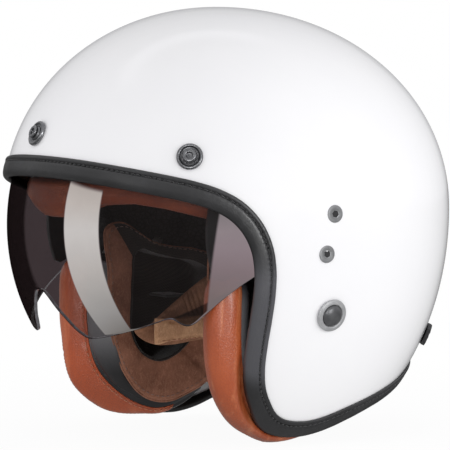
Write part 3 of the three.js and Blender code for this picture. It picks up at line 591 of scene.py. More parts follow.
def to_object(name, shape, material_index=None, angle=None):
    """A piece that faces out, with edges past the angle kept sharp."""
    verts, faces = shape
    centred = verts - verts.mean(0)
    triangles = np.array([(f[0], f[k], f[k + 1]) for f in faces for k in range(1, len(f) - 1)])
    a, b, c = (centred[triangles[:, k]] for k in range(3))
    if np.einsum("ij,ij->i", a, np.cross(b, c)).sum() < 0:
        faces = [list(face)[::-1] for face in faces]
    obj = link_mesh(name, verts, faces, material_index)
    obj.data.validate()
    if angle:
        obj.data.set_sharp_from_angle(angle=math.radians(angle))
    return obj


def joined(name, parts):
    """Separate closed bodies as one object; each faces out on its own."""
    all_verts, all_faces, count = [], [], 0
    for verts, faces in parts:
        all_verts.append(verts)
        all_faces += [[i + count for i in face] for face in faces]
        count += len(verts)
    obj = link_mesh(name, np.vstack(all_verts), all_faces, [0] * len(all_faces))
    edit = bmesh.new()
    edit.from_mesh(obj.data)
    bmesh.ops.recalc_face_normals(edit, faces=edit.faces)
    edit.to_mesh(obj.data)
    edit.free()
    return obj


def bake(obj):
    """Applies the object's modifiers to its mesh."""
    bpy.context.view_layer.update()
    graph = bpy.context.evaluated_depsgraph_get()
    mesh = bpy.data.meshes.new_from_object(
        obj.evaluated_get(graph), preserve_all_data_layers=True, depsgraph=graph
    )
    obj.modifiers.clear()
    old = obj.data
    obj.data = mesh
    bpy.data.meshes.remove(old)


def chamfer(obj, width, angle):
    bevel = obj.modifiers.new("edge", "BEVEL")
    bevel.width, bevel.segments = width * MM, 2
    bevel.limit_method, bevel.angle_limit = "ANGLE", math.radians(angle)
    bake(obj)
    smooth(obj)


def subdivide(obj):
    fine = obj.modifiers.new("fine", "SUBSURF")
    fine.levels = fine.render_levels = 1
    bake(obj)


def mesh_points(mesh):
    flat = np.empty(len(mesh.vertices) * 3)
    mesh.vertices.foreach_get("co", flat)
    return flat.reshape(-1, 3) / MM - CENTRE


def coords(obj):
    return mesh_points(obj.data)


def set_coords(obj, points):
    flat = ((np.asarray(points) + CENTRE) * MM).astype(np.float32).ravel()
    obj.data.vertices.foreach_set("co", flat)
    obj.data.update()


def normals(obj):
    flat = np.empty(len(obj.data.vertices) * 3)
    obj.data.vertices.foreach_get("normal", flat)
    return flat.reshape(-1, 3)


def grids(obj, rows, cols, start=0):
    """Points and normals of a grid of the object's vertices."""
    part = slice(start, start + rows * cols)
    return (a[part].reshape(rows, cols, 3) for a in (coords(obj), normals(obj)))


def both_sides(left):
    """The left piece and a mirrored copy of it, each with its side's name."""
    name = left.name.replace("_left", "_right")
    mesh = left.data.copy()
    mesh.name = name
    flat = np.empty(len(mesh.vertices) * 3, np.float32)
    mesh.vertices.foreach_get("co", flat)
    flat[::3] *= -1
    mesh.vertices.foreach_set("co", flat)
    mesh.flip_normals()
    mesh.update()
    right = bpy.data.objects.new(name, mesh)
    scene.collection.objects.link(right)
    return (left, "left"), (right, "right")


def finish(obj, node, *materials, detail=False):
    """Gives a piece its materials and body. A detail goes with a CAD node's own piece."""
    indices = [polygon.material_index for polygon in obj.data.polygons]
    obj.data.materials.clear()
    for material in materials:
        obj.data.materials.append(material)
    if len(materials) > 1:
        obj.data.polygons.foreach_set("material_index", indices)
    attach(obj, BODY[node])
    if not detail:
        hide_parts(node)


def turned(name, node, profile, origin, direction, material, radius=0.25, segments=84, angle=50):
    """A lathe-turned piece; the radius rounds its profile's corners."""
    verts, faces = lathe(rounded(profile, radius), segments)
    obj = to_object(name, (placed(verts, origin, direction), faces), angle=angle)
    finish(obj, node, material)


# ---- node trees ------------------------------------------------------------------------------
def srgb(*channels):
    """Linear colour from channels of 0 to 255."""
    shares = [channel / 255 for channel in channels]
    return tuple(c / 12.92 if c <= 0.04045 else ((c + 0.055) / 1.055) ** 2.4 for c in shares)


def brighter(colour, times, plus=0.0):
    return tuple(min(1, channel * times + plus) for channel in colour)


class Nodes:
    """Builds a node tree. A material's patterns are in its object's own space, in metres."""

    def __init__(self, owner, kind="Material", space="Object"):
        owner.use_nodes = True
        self.owner, self.tree = owner, owner.node_tree
        self.tree.nodes.clear()
        self.out = self.tree.nodes.new("ShaderNodeOutput" + kind).inputs[0]
        self.coords = self.tree.nodes.new("ShaderNodeTexCoord").outputs[space]

    def node(self, kind, inputs=None, **settings):
        new = self.tree.nodes.new("ShaderNode" + kind)
        for key, value in settings.items():
            setattr(new, key, value)
        for key, value in (inputs or {}).items():
            self.set(new.inputs[key], value)
        return new

    def set(self, socket, value):
        if isinstance(value, bpy.types.Node):
            value = value.outputs[0]
        if isinstance(value, bpy.types.NodeSocket):
            self.tree.links.new(value, socket)
        elif socket.type == "RGBA":
            socket.default_value = (*value, 1)
        else:
            socket.default_value = value

    def math(self, operation, a, b=0.0):
        return self.node("Math", {0: a, 1: b}, operation=operation).outputs[0]

    def mul(self, value, by):
        return self.math("MULTIPLY", value, by)

    def add(self, a, b):
        return self.math("ADD", a, b)

    def sub(self, a, b):
        return self.math("SUBTRACT", a, b)

    def vector(self, operation, a, b):
        second = "Scale" if operation == "SCALE" else 1
        node = self.node("VectorMath", {0: a, second: b}, operation=operation)
        return node.outputs["Vector"]

    def stretched(self, scale, turn=(0, 0, 0)):
        return self.node("Mapping", {"Vector": self.coords, "Scale": scale, "Rotation": turn})

    def noise(self, scale, detail=3.0, rough=0.5, vector=None, warp=0.0):
        inputs = {"Vector": vector or self.coords, "Scale": scale, "Detail": detail}
        inputs |= {"Roughness": rough, "Distortion": warp}
        return self.node("TexNoise", inputs).outputs[0]

    def cells(self, scale, feature="F1", vector=None):
        inputs = {"Vector": vector or self.coords, "Scale": scale, "Randomness": 1.0}
        return self.node("TexVoronoi", inputs, feature=feature).outputs["Distance"]

    def fade(self, value, span, to=(0.0, 1.0), smooth=False):
        """Maps a span of values to another, clamped."""
        inputs = {"Value": value, "From Min": span[0], "From Max": span[1]}
        inputs |= {"To Min": to[0], "To Max": to[1]}
        node = self.node("MapRange", inputs, clamp=True)
        if smooth:
            node.interpolation_type = "SMOOTHSTEP"
        return node.outputs[0]

    def mix(self, factor, base, over):
        node = self.node("Mix", data_type="RGBA", blend_type="MIX")
        for index, value in ((0, factor), (6, base), (7, over)):
            self.set(node.inputs[index], value)
        return node.outputs[2]

    def ramp(self, value, stops):
        node = self.node("ValToRGB", {"Fac": value})
        elements = node.color_ramp.elements
        while len(elements) < len(stops):
            elements.new(0.5)
        for element, (position, colour) in zip(elements, stops):
            element.position, element.color = position, (*colour, 1)
        return node.outputs[0]

    def bump(self, height, distance, strength, under=None):
        inputs = {"Height": height, "Distance": distance, "Strength": strength}
        if under is not None:
            inputs["Normal"] = under
        return self.node("Bump", inputs).outputs[0]

    def split(self, vector=None):
        return self.node("SeparateXYZ", {"Vector": vector or self.coords}).outputs

    def facing(self):
        return self.node("LayerWeight", {"Blend": 0.5}).outputs["Facing"]

    def pointiness(self):
        return self.node("NewGeometry").outputs["Pointiness"]

    def surface(self, **inputs):
        inputs = {key.replace("_", " "): value for key, value in inputs.items()}
        self.set(self.out, self.node("BsdfPrincipled", inputs))
        return self.owner


def new_material(name):
    return Nodes(bpy.data.materials.new(name))


# ---- materials -------------------------------------------------------------------------------
def shell_white():
    """Gloss paint with slight orange peel, with painted shade greying it towards the outline."""
    mat = new_material("shell_gloss_white")
    facing = mat.facing()
    peel = mat.noise(scale=260, detail=2)
    haze = mat.fade(mat.noise(scale=14, detail=4, rough=0.55), span=(0.35, 0.7))
    colour = mat.mix(haze, base=(0.915, 0.912, 0.928), over=(0.935, 0.932, 0.942))
    speck = mat.fade(mat.noise(scale=900, detail=2, rough=0.6), span=(0.72, 0.78))
    colour = mat.mix(mat.mul(speck, by=0.02), colour, over=(0.7, 0.7, 0.7))
    # painted shade: the colour greys towards the outline, where the surface turns from view
    rim = mat.fade(facing, span=(0.74, 0.995), smooth=True)
    colour = mat.mix(mat.math("POWER", rim, b=1.8), colour, over=(0.40, 0.40, 0.415))
    rough = mat.noise(scale=35, detail=5, rough=0.6)
    return mat.surface(
        Base_Color=colour,
        Roughness=mat.fade(rough, span=(0.3, 0.8), to=(0.13, 0.2)),
        IOR=1.48,
        Coat_Weight=0.55,
        Coat_Roughness=0.035,
        Normal=mat.bump(peel, distance=0.00002, strength=0.25),
        Coat_Normal=mat.bump(peel, distance=0.00001, strength=0.12),
    )


def leather(
    name, base, dark, light, *, grain, rough, streak,
    bump=0.00016, wear_and_highlight=0.5, coat=0.05, ior=1.42, tone=None, rim=1.0,
):
    """Grained hide. Its pale streaks are partly wear and partly painted highlight, with their
    share given as an argument; rim is the shine left at the outline.
    """
    mat = new_material(name)
    shine = mat.fade(mat.facing(), span=(0.42, 0.8), to=(1.0, rim), smooth=True)
    wander = mat.node("TexNoise", {"Vector": mat.coords, "Scale": 160, "Detail": 2})
    shift = mat.vector("SCALE", wander.outputs["Color"], b=0.0012)
    warped = mat.vector("ADD", mat.coords, shift)
    cell = mat.cells(grain, "F1", warped)
    edge = mat.cells(grain, "DISTANCE_TO_EDGE", warped)
    fine = mat.noise(scale=grain * 3.2, detail=3, rough=0.6)
    pull = mat.noise(scale=90, detail=4, rough=0.6, vector=mat.stretched(streak).outputs[0],
                     warp=0.3)
    cloud = mat.noise(scale=24, detail=4, rough=0.55)
    colour = mat.mix(mat.fade(cloud, span=(0.3, 0.72)), dark, base)
    # pale streaks: partly wear, partly painted highlight
    colour = mat.mix(mat.mul(mat.fade(pull, span=(0.5, 0.78)), by=wear_and_highlight), colour, light)
    joint = mat.fade(edge, span=(0.0, 0.09), to=(1, 0))
    colour = mat.mix(mat.mul(joint, by=0.45), colour, dark)
    # the tone paints light and shade into the colour by place
    if tone:
        colour = tone(mat, colour, mat.split())
    pebble = mat.mul(mat.fade(edge, span=(0, 0.22)), by=0.7)
    height = mat.add(pebble, mat.mul(fine, by=0.35))
    pulled = mat.bump(pull, distance=0.0009, strength=0.35)
    grained = mat.bump(height, distance=bump, strength=0.9, under=pulled)
    uneven = mat.add(pull, mat.mul(cell, by=0.3))
    return mat.surface(
        Base_Color=colour,
        Roughness=mat.fade(uneven, span=(0.3, 1.0), to=rough),
        Normal=grained,
        IOR=ior,
        Specular_IOR_Level=mat.mul(shine, by=0.5),
        Coat_Weight=mat.mul(shine, by=coat),
        Coat_Roughness=0.27,
        Coat_Normal=pulled,
    )


# Tones paint light and shade into a hide's colour by place; spans are in metres, z about the
# shell's centre.
def height_of(mat, place):
    return mat.sub(place[2], float(CENTRE[2]) * MM)


def painted_trim_light_and_shade(mat, colour, place):
    """Painted light on the trim: the upright runs beside the cheeks are painted paler as a
    highlight; the right lower part is painted nearly black as shade.
    """
    x, z = place[0], height_of(mat, place)
    side = mat.fade(mat.math("ABSOLUTE", x), span=(0.094, 0.102), smooth=True)
    upright = mat.mul(
        mat.fade(z, span=(-0.104, -0.086), smooth=True),
        by=mat.fade(z, span=(-0.040, -0.016), to=(1, 0), smooth=True),
    )
    foot = mat.mul(
        mat.fade(x, span=(-0.02, -0.05), smooth=True),
        by=mat.fade(z, span=(-0.088, -0.098), smooth=True),
    )
    # painted highlight on the upright runs
    colour = mat.mix(mat.mul(side, by=upright), colour, over=(0.056, 0.056, 0.063))
    # painted shade on the right lower part
    return mat.mix(foot, colour, over=(0.004, 0.004, 0.004))


def painted_roll_shade(mat, colour, place):
    """Painted shade: the hide darkens towards the bottom of the roll and is redder on the right,
    for the far roll's dimmer light.
    """
    z = height_of(mat, place)
    foot = mat.fade(z, span=(-0.092, -0.124), smooth=True)
    right = mat.fade(place[0], span=(-0.02, -0.05), to=(0, 0.35), smooth=True)
    # redder on the right, painted for the far roll's dimmer light
    colour = mat.mix(right, colour, over=(0.60, 0.083, 0.012))
    # painted shade towards the foot
    return mat.mix(mat.mul(foot, by=0.55), colour, over=(0.20, 0.040, 0.012))


def shaded_gusset(mat, colour, place):
    """Painted highlight, paler at mid height, and painted shade, dark towards the foot."""
    z = height_of(mat, place)
    # painted highlight at mid height
    pale = mat.mul(
        mat.fade(z, span=(-0.096, -0.074), to=(0, 0.9), smooth=True),
        by=mat.fade(z, span=(-0.036, -0.054), smooth=True),
    )
    colour = mat.mix(pale, colour, over=(0.15, 0.148, 0.155))
    # painted shade towards the foot
    foot = mat.fade(z, span=(-0.090, -0.104), to=(0, 0.9), smooth=True)
    return mat.mix(foot, colour, over=(0.005, 0.004, 0.005))


def painted_side_shade(mat, colour, place):
    """Painted shade, darker towards the wearer's left."""
    left = mat.fade(place[0], span=(-0.075, 0.06), to=(0.0, 0.42), smooth=True)
    return mat.mix(left, colour, over=(0.085, 0.018, 0.008))


def suede(name, base, dark, light, nap, patch):
    """Napped cloth; nap and patch are the noise scales of its fibres and blotches."""
    mat = new_material(name)
    lengthwise = mat.stretched((1, 1, 0.55)).outputs[0]
    fibre = mat.noise(scale=nap, detail=4, rough=0.7, vector=lengthwise, warp=0.8)
    slanted = mat.stretched((0.6, 1, 1), turn=(0.4, 0.2, 0.9)).outputs[0]
    fine = mat.noise(scale=nap * 2.6, detail=3, rough=0.6, vector=slanted)
    blotch = mat.noise(scale=patch, detail=5, rough=0.62, warp=0.6)
    colour = mat.mix(mat.fade(blotch, span=(0.32, 0.68)), dark, base)
    colour = mat.mix(mat.mul(mat.fade(fibre, span=(0.5, 0.72)), by=0.55), colour, light)
    colour = mat.mix(mat.mul(mat.fade(fine, span=(0.52, 0.3)), by=0.35), colour, dark)
    height = mat.add(fibre, mat.mul(fine, by=0.5))
    return mat.surface(
        Base_Color=colour,
        Roughness=mat.fade(blotch, span=(0.3, 0.7), to=(0.82, 0.98)),
        Normal=mat.bump(
            height, distance=0.00028, strength=0.8,
            under=mat.bump(blotch, distance=0.0006, strength=0.4),
        ),
        Sheen_Weight=0.5,
        Sheen_Roughness=0.45,
        Sheen_Tint=light,
        Specular_IOR_Level=0.12,
    )


def knit(name, base, dark):
    """A fine knit: rows of small loops in two directions."""
    mat = new_material(name)
    place = mat.split()

    def wave(value, frequency, phase=0.0):
        return mat.math("SINE", mat.add(mat.mul(value, by=frequency), phase))

    across = mat.add(place[0], mat.mul(place[1], by=0.45))
    upward = mat.add(place[2], mat.mul(place[1], by=0.35))
    loop = mat.mul(wave(across, frequency=4500), wave(upward, frequency=3600, phase=0.7))
    fuzz = mat.noise(scale=1980, detail=3, rough=0.65)
    blotch = mat.noise(scale=30, detail=4, rough=0.6)
    colour = mat.mix(mat.fade(loop, span=(-0.6, 0.8)), dark, base)
    colour = mat.mix(mat.mul(mat.fade(blotch, span=(0.35, 0.7)), by=0.5), colour, dark)
    height = mat.add(mat.mul(loop, by=0.6), mat.mul(fuzz, by=0.6))
    return mat.surface(
        Base_Color=colour,
        Roughness=0.95,
        Normal=mat.bump(height, distance=0.00022, strength=0.8),
        Sheen_Weight=0.25,
        Sheen_Roughness=0.5,
        Specular_IOR_Level=0.15,
    )


def webbing(name, base, dark):
    """Woven strap: chevrons of flat yarns across its width."""
    mat = new_material(name)
    _, y, z = mat.split()
    chevron = mat.sub(mat.math("FRACT", mat.mul(z, by=240.0)), 0.5)
    chevron = mat.math("ABSOLUTE", chevron)
    yarn = mat.mul(mat.add(y, mat.mul(chevron, by=0.0042)), by=5200.0)
    yarn = mat.math("SINE", yarn)
    rib = mat.math("SINE", mat.mul(z, by=3016.0))
    fuzz = mat.noise(scale=2400, detail=3, rough=0.6)
    height = mat.add(
        mat.mul(yarn, by=0.5), mat.add(mat.mul(rib, by=0.35), mat.mul(fuzz, by=0.5))
    )
    return mat.surface(
        Base_Color=mat.mix(mat.fade(height, span=(-0.6, 0.9)), dark, base),
        Roughness=0.78,
        Normal=mat.bump(height, distance=0.0002, strength=0.9),
        Sheen_Weight=0.25,
        Sheen_Roughness=0.4,
    )


def metal(name, base, dark, rough, metallic=1.0):
    """Brushed metal, brighter on its edges and along its scratches."""
    mat = new_material(name)
    upright = mat.stretched((1, 1, 6)).outputs[0]
    brush = mat.noise(scale=700, detail=4, rough=0.7, vector=upright)
    blotch = mat.noise(scale=240, detail=4, rough=0.6)
    fine = mat.noise(scale=2600, detail=3, rough=0.6)
    edge = mat.fade(mat.pointiness(), span=(0.5, 0.6))
    colour = mat.mix(mat.fade(blotch, span=(0.35, 0.7)), dark, base)
    colour = mat.mix(mat.mul(edge, by=0.7), colour, over=brighter(base, times=2.2))
    scratch = mat.mul(mat.fade(brush, span=(0.6, 0.75)), by=0.2)
    colour = mat.mix(scratch, colour, over=brighter(base, times=1.6))
    return mat.surface(
        Base_Color=colour,
        Metallic=metallic,
        Roughness=mat.fade(mat.add(brush, blotch), span=(0.7, 1.3), to=rough),
        Normal=mat.bump(mat.add(fine, brush), distance=0.00003, strength=0.6),
    )


def plastic(name, base, light):
    """Fine-grained plastic, paler on its edges."""
    mat = new_material(name)
    spark = mat.cells(scale=1500)
    cloud = mat.noise(scale=40, detail=4, rough=0.6)
    edge = mat.fade(mat.pointiness(), span=(0.52, 0.62))
    colour = mat.mix(mat.fade(cloud, span=(0.3, 0.75)), base, light)
    pale = brighter(light, times=3, plus=0.02)
    return mat.surface(
        Base_Color=mat.mix(mat.mul(edge, by=0.35), colour, pale),
        Roughness=mat.fade(cloud, span=(0.3, 0.7), to=(0.38, 0.52)),
        Normal=mat.bump(spark, distance=0.00005, strength=0.7),
        IOR=1.47,
    )


def foam():
    """Moulded bead foam: pressed beads with dark joints between them."""
    mat = new_material("energy_foam")
    edge = mat.cells(scale=340, feature="DISTANCE_TO_EDGE")
    bead = mat.cells(scale=340)
    blotch = mat.noise(scale=60, detail=4, rough=0.6)
    joint = mat.fade(edge, span=(0.0, 0.14))
    colour = mat.mix(joint, base=(0.008, 0.008, 0.009), over=(0.03, 0.03, 0.032))
    colour = mat.mix(mat.mul(blotch, by=0.35), colour, over=(0.05, 0.05, 0.053))
    return mat.surface(
        Base_Color=colour,
        Roughness=mat.fade(bead, span=(0.1, 0.6), to=(0.62, 0.85)),
        Normal=mat.bump(mat.fade(edge, span=(0, 0.2)), distance=0.0004, strength=0.7),
        IOR=1.4,
    )


def painted_soft_box_reflections(mat, azimuth, elevation, smear):
    """Colour and cover of painted reflections of two soft boxes in the lens, by mirrored
    direction in radians.
    """

    def band(value, span, soft):
        low, high = span
        rise = mat.fade(value, span=(low - soft, low + soft), smooth=True)
        fall = mat.fade(value, span=(high - soft, high + soft), to=(1, 0), smooth=True)
        return mat.mul(rise, by=fall)

    upright = mat.mul(
        band(azimuth, span=(-0.605, -0.105), soft=0.012),
        by=band(elevation, span=(-1.35, 0.27), soft=0.02),
    )
    upright_colour = mat.ramp(mat.fade(elevation, span=(-0.85, 0.28)), [
        (0.0, (0.15, 0.14, 0.13)), (0.16, (0.28, 0.27, 0.265)), (0.45, (0.49, 0.46, 0.44)),
        (0.72, (0.62, 0.59, 0.575)), (0.88, (0.54, 0.49, 0.46)), (1.0, (0.46, 0.41, 0.38)),
    ])
    tall = mat.stretched((1, 1, 0.12)).outputs[0]
    streak = mat.noise(scale=9.0, detail=3, vector=tall, warp=0.2)
    streak = mat.fade(streak, span=(0.42, 0.66), to=(0, 0.22))
    upright_colour = mat.mix(streak, upright_colour, over=(0.36, 0.35, 0.34))

    slant = mat.sub(azimuth, mat.mul(elevation, by=0.19))
    side = mat.mul(
        band(slant, span=(1.255, 2.4), soft=0.016),
        by=band(elevation, span=(-1.2, 0.9), soft=0.03),
    )
    side_colour = mat.ramp(mat.fade(elevation, span=(-0.55, 0.1)), [
        (0.0, (0.165, 0.135, 0.135)), (0.35, (0.235, 0.175, 0.19)), (0.6, (0.30, 0.235, 0.26)),
        (0.8, (0.315, 0.26, 0.28)), (1.0, (0.23, 0.205, 0.215)),
    ])
    streak = mat.noise(scale=14.0, detail=3, vector=mat.stretched((1, 1, 0.3)).outputs[0])
    streak = mat.fade(streak, span=(0.4, 0.68), to=(0, 0.3))
    side_colour = mat.mix(streak, side_colour, over=(0.20, 0.17, 0.18))

    upright = mat.mul(upright, by=mat.fade(smear, span=(0.2, 0.8), to=(0.93, 0.99)))
    side = mat.mul(side, by=mat.fade(smear, span=(0.2, 0.8), to=(0.88, 0.95)))
    return mat.mix(upright, side_colour, upright_colour), mat.math("MAXIMUM", upright, side)


def lens():
    """Smoked lens: lets about half the light through and carries painted reflections of the soft
    boxes, as emission.
    """
    mat = new_material("visor_lens_smoke")
    geometry = mat.node("NewGeometry").outputs
    front = mat.sub(1.0, geometry["Backfacing"])
    path = mat.node("LightPath").outputs
    first = mat.math("LESS_THAN", path["Transparent Depth"], b=0.5)
    smear = mat.noise(scale=45, detail=5, rough=0.6, warp=0.5)
    dust = mat.fade(mat.noise(scale=1400, detail=2, rough=0.6), span=(0.66, 0.8))
    smeared = mat.fade(smear, span=(0.3, 0.7))
    tint = mat.mix(smeared, base=(0.55, 0.53, 0.535), over=(0.60, 0.58, 0.585))

    # painted reflection and shade: the mirrored direction is dark towards one end of the room, so
    # the tint is painted nearly black there, and painted darker at the outline
    outgoing = mat.vector("SCALE", geometry["Incoming"], b=-1.0)
    mirrored = mat.split(mat.vector("REFLECT", outgoing, geometry["Normal"]))
    azimuth = mat.math("ARCTAN2", mirrored[0], mat.mul(mirrored[1], by=-1.0))
    elevation = mat.math("ARCSINE", mirrored[2])
    dark = mat.mul(mat.fade(azimuth, span=(-1.17, -1.24), smooth=True), by=first)
    tint = mat.mix(mat.mul(dark, by=0.82), tint, over=(0.045, 0.03, 0.025))
    graze = mat.fade(mat.facing(), span=(0.72, 0.99), smooth=True)
    tint = mat.mix(mat.mul(graze, by=0.75), tint, over=(0.03, 0.025, 0.022))

    # the tab on the lower edge is darker; its spans are angle about the hinge, then x
    place = mat.split()
    drop = mat.math(
        "ARCTAN2",
        mat.sub(float(CENTRE[2] + PIVOT_Z) * MM, place[2]),
        mat.sub(float(CENTRE[1] + PIVOT_Y) * MM, place[1]),
    )
    span = (math.radians(30.4), math.radians(31.4))
    tab = mat.mul(
        mat.fade(drop, span=span, smooth=True),
        by=mat.mul(
            mat.fade(place[0], span=(0.084, 0.087), smooth=True),
            by=mat.fade(place[0], span=(0.103, 0.108), to=(1, 0), smooth=True),
        ),
    )
    tint = mat.mix(mat.mul(tab, by=0.8), tint, over=(0.05, 0.035, 0.025))
    once = mat.mul(front, by=mat.fade(first, span=(0, 1), to=(0.12, 1.0)))
    clear = mat.node("BsdfTransparent", {"Color": mat.mix(once, (0.97, 0.97, 0.97), tint)})

    colour, cover = painted_soft_box_reflections(mat, azimuth, elevation, smear)
    seen = mat.mul(mat.mul(front, by=path["Is Camera Ray"]), by=first)
    # painted reflections of the soft boxes, glowing as emission
    glow = mat.node("Emission", {"Color": colour, "Strength": 1.0})
    both = mat.node("MixShader", {0: mat.mul(cover, by=seen), 1: clear, 2: glow})

    # a faint veil of painted reflection and haze, patchy with smears and dust, seen from the
    # camera only
    fresnel = mat.node("Fresnel", {"IOR": 1.5}).outputs[0]
    fresnel = mat.fade(fresnel, span=(0.03, 0.6), to=(0.25, 1.0))
    lit = mat.mul(
        mat.fade(azimuth, span=(-1.0, 1.1), to=(0.4, 1.0), smooth=True),
        by=mat.fade(mirrored[2], span=(-0.5, 0.8), to=(0.6, 1.5)),
    )
    reflection_and_dust_veil = mat.add(0.005, mat.mul(mat.mul(fresnel, by=lit), by=0.014))
    reflection_and_dust_veil = mat.mul(mat.mul(reflection_and_dust_veil, by=mat.sub(1.0, dark)), by=seen)
    patchy = mat.fade(smear, span=(0.25, 0.8), to=(0.8, 1.2))
    reflection_and_dust_veil = mat.mul(reflection_and_dust_veil, by=mat.add(patchy, mat.mul(dust, by=0.6)))
    haze = mat.node("Emission", {"Color": (1.0, 0.86, 0.84), "Strength": reflection_and_dust_veil})
    mat.set(mat.out, mat.node("AddShader", {0: both, 1: haze}))
    return mat.owner


def lens_edge():
    """The lens's polished border, with a painted highlight towards the left."""
    mat = new_material("visor_lens_edge")
    grain = mat.noise(scale=300, detail=3)
    spread = mat.fade(grain, span=(0.3, 0.7))
    colour = mat.mix(spread, base=(0.07, 0.068, 0.075), over=(0.18, 0.175, 0.19))
    # painted highlight towards the left
    left = mat.fade(mat.split()[0], span=(0.074, 0.09), smooth=True)
    return mat.surface(
        Base_Color=mat.mix(left, colour, over=(0.30, 0.29, 0.33)),
        Roughness=mat.fade(grain, span=(0.3, 0.7), to=(0.15, 0.3)),
        IOR=1.5,
        Coat_Weight=0.6,
        Coat_Roughness=0.05,
        Normal=mat.bump(grain, distance=0.00002, strength=0.3),
    )


def thread(name, base, light):
    mat = new_material(name)
    wave = {"Vector": mat.coords, "Scale": 900, "Distortion": 2.0, "Detail": 2.0}
    twist = mat.node("TexWave", wave, wave_type="BANDS", bands_direction="DIAGONAL")
    twist = twist.outputs["Fac"]
    return mat.surface(
        Base_Color=mat.mix(twist, base, light),
        Roughness=0.6,
        Normal=mat.bump(twist, distance=0.00012, strength=0.8),
        Sheen_Weight=0.3,
    )


# Colours are given as base, dark, light, or as base, light for thread and plastic.
WHITE = shell_white()
TRIM = leather(
    "trim_leatherette", srgb(38, 38, 40), srgb(24, 24, 25), srgb(62, 62, 66), grain=950,
    rough=(0.34, 0.48), streak=(1, 1, 1), bump=0.00008, wear_and_highlight=0.25, coat=0.45, ior=1.5,
    tone=painted_trim_light_and_shade, rim=0.15,
)
THREAD_BLACK = thread("thread_black", srgb(14, 14, 15), srgb(34, 34, 36))
LEATHER = leather(
    "leather_tan", srgb(170, 83, 42), srgb(140, 60, 26), srgb(226, 152, 106), grain=560,
    rough=(0.30, 0.46), streak=(1, 1, 0.10), wear_and_highlight=0.8, coat=0.7, tone=painted_roll_shade,
)
LEATHER_BAND = leather(
    "leather_tan_band", srgb(150, 70, 40), srgb(118, 50, 24), srgb(182, 106, 70), grain=560,
    rough=(0.38, 0.52), streak=(0.4, 1, 1), tone=painted_side_shade,
)
THREAD_TAN = thread("thread_tan", srgb(148, 82, 50), srgb(190, 122, 84))
THREAD_BROWN = thread("thread_brown", srgb(84, 57, 45), srgb(118, 82, 65))
GUSSET = leather(
    "gusset_black", srgb(66, 65, 68), srgb(32, 31, 33), srgb(104, 104, 110), grain=1100,
    rough=(0.32, 0.48), streak=(1, 1, 0.2), bump=0.00006, wear_and_highlight=0.3, coat=0.6, ior=1.5,
    tone=shaded_gusset,
)
FABRIC = suede(
    "fabric_brown", srgb(142, 98, 79), srgb(104, 68, 53), srgb(168, 124, 102), nap=900, patch=55
)
FABRIC_DARK = knit("fabric_dark", srgb(44, 36, 32), srgb(20, 17, 15))
FLAP_SUEDE = suede(
    "suede_flap", srgb(150, 108, 84), srgb(104, 72, 54), srgb(182, 138, 110), nap=1100, patch=80
)
SUEDE = suede(
    "suede_tan", srgb(206, 160, 124), srgb(158, 114, 84), srgb(236, 198, 162), nap=1200, patch=90
)
WEBBING = webbing("webbing_black", srgb(48, 48, 50), srgb(16, 16, 17))
RETAINER = leather(
    "retainer_leatherette", srgb(52, 52, 55), srgb(34, 34, 36), srgb(80, 80, 84), grain=900,
    rough=(0.42, 0.58), streak=(1, 1, 1), bump=0.00008, wear_and_highlight=0.25,
)
GUNMETAL = metal("gunmetal", (0.24, 0.242, 0.25), (0.13, 0.132, 0.14), rough=(0.18, 0.34))
CAP_METAL = metal(
    "gunmetal_cap", (0.13, 0.131, 0.136), (0.085, 0.086, 0.09), rough=(0.3, 0.44), metallic=0.6
)
GREY = metal(
    "screw_grey", (0.20, 0.203, 0.208), (0.14, 0.142, 0.147), rough=(0.34, 0.5), metallic=0.4
)
WASHER = metal(
    "washer_grey", (0.36, 0.363, 0.37), (0.28, 0.283, 0.29), rough=(0.36, 0.5), metallic=0.35
)
STEEL = metal("ring_steel", (0.55, 0.56, 0.57), (0.42, 0.43, 0.44), rough=(0.2, 0.36))
PLASTIC = plastic("plastic_black", (0.011, 0.011, 0.012), (0.02, 0.02, 0.022))
FOAM = foam()
LENS = lens()
LENS_EDGE = lens_edge()


# ---- shell and energy liner ------------------------------------------------------------------
def lowered(points):
    """How far the trim sits lower round the lower front corners, in mm."""
    x, y, z = points.T
    return 1.8 * ease(-z, 106.0, 117.0) * (1 - ease(y, 12.0, 44.0))


def swollen(points):
    """By what share the trim is wider there and along the first part of the bottom."""
    x, y, z = points.T
    return 0.22 * ease(-z, 104.0, 116.0) * (1 - ease(y, 20.0, np.where(x > 0, 92.0, 56.0)))


def build_shell():
    rim = coarse_edge.offset(10.4 + lowered(coarse_edge.points), 0.0)[::2]
    shape = dome(
        rim, 88, lambda points, t: np.zeros(points.shape[:-1]),
        lambda points, t: np.full(points.shape[:-1], SHELL_THICK), first=0.012,
    )
    obj = to_object("shell_body", shape)
    finish(obj, "outer_shell", WHITE)
    return obj


def build_liner():
    """The CAD liner itself, remeshed and softened."""
    mesh = frame["nodes"]["energy_liner"].data.copy()
    obj = bpy.data.objects.new("energy_liner_body", mesh)
    scene.collection.objects.link(obj)
    remesh = obj.modifiers.new("remesh", "REMESH")
    remesh.mode, remesh.voxel_size, remesh.use_smooth_shade = "VOXEL", 0.0022, True
    relax = obj.modifiers.new("relax", "SMOOTH")
    relax.factor, relax.iterations = 0.5, 5
    bake(obj)
    smooth(obj)
    finish(obj, "energy_liner", FOAM)


shell = build_shell()
build_liner()

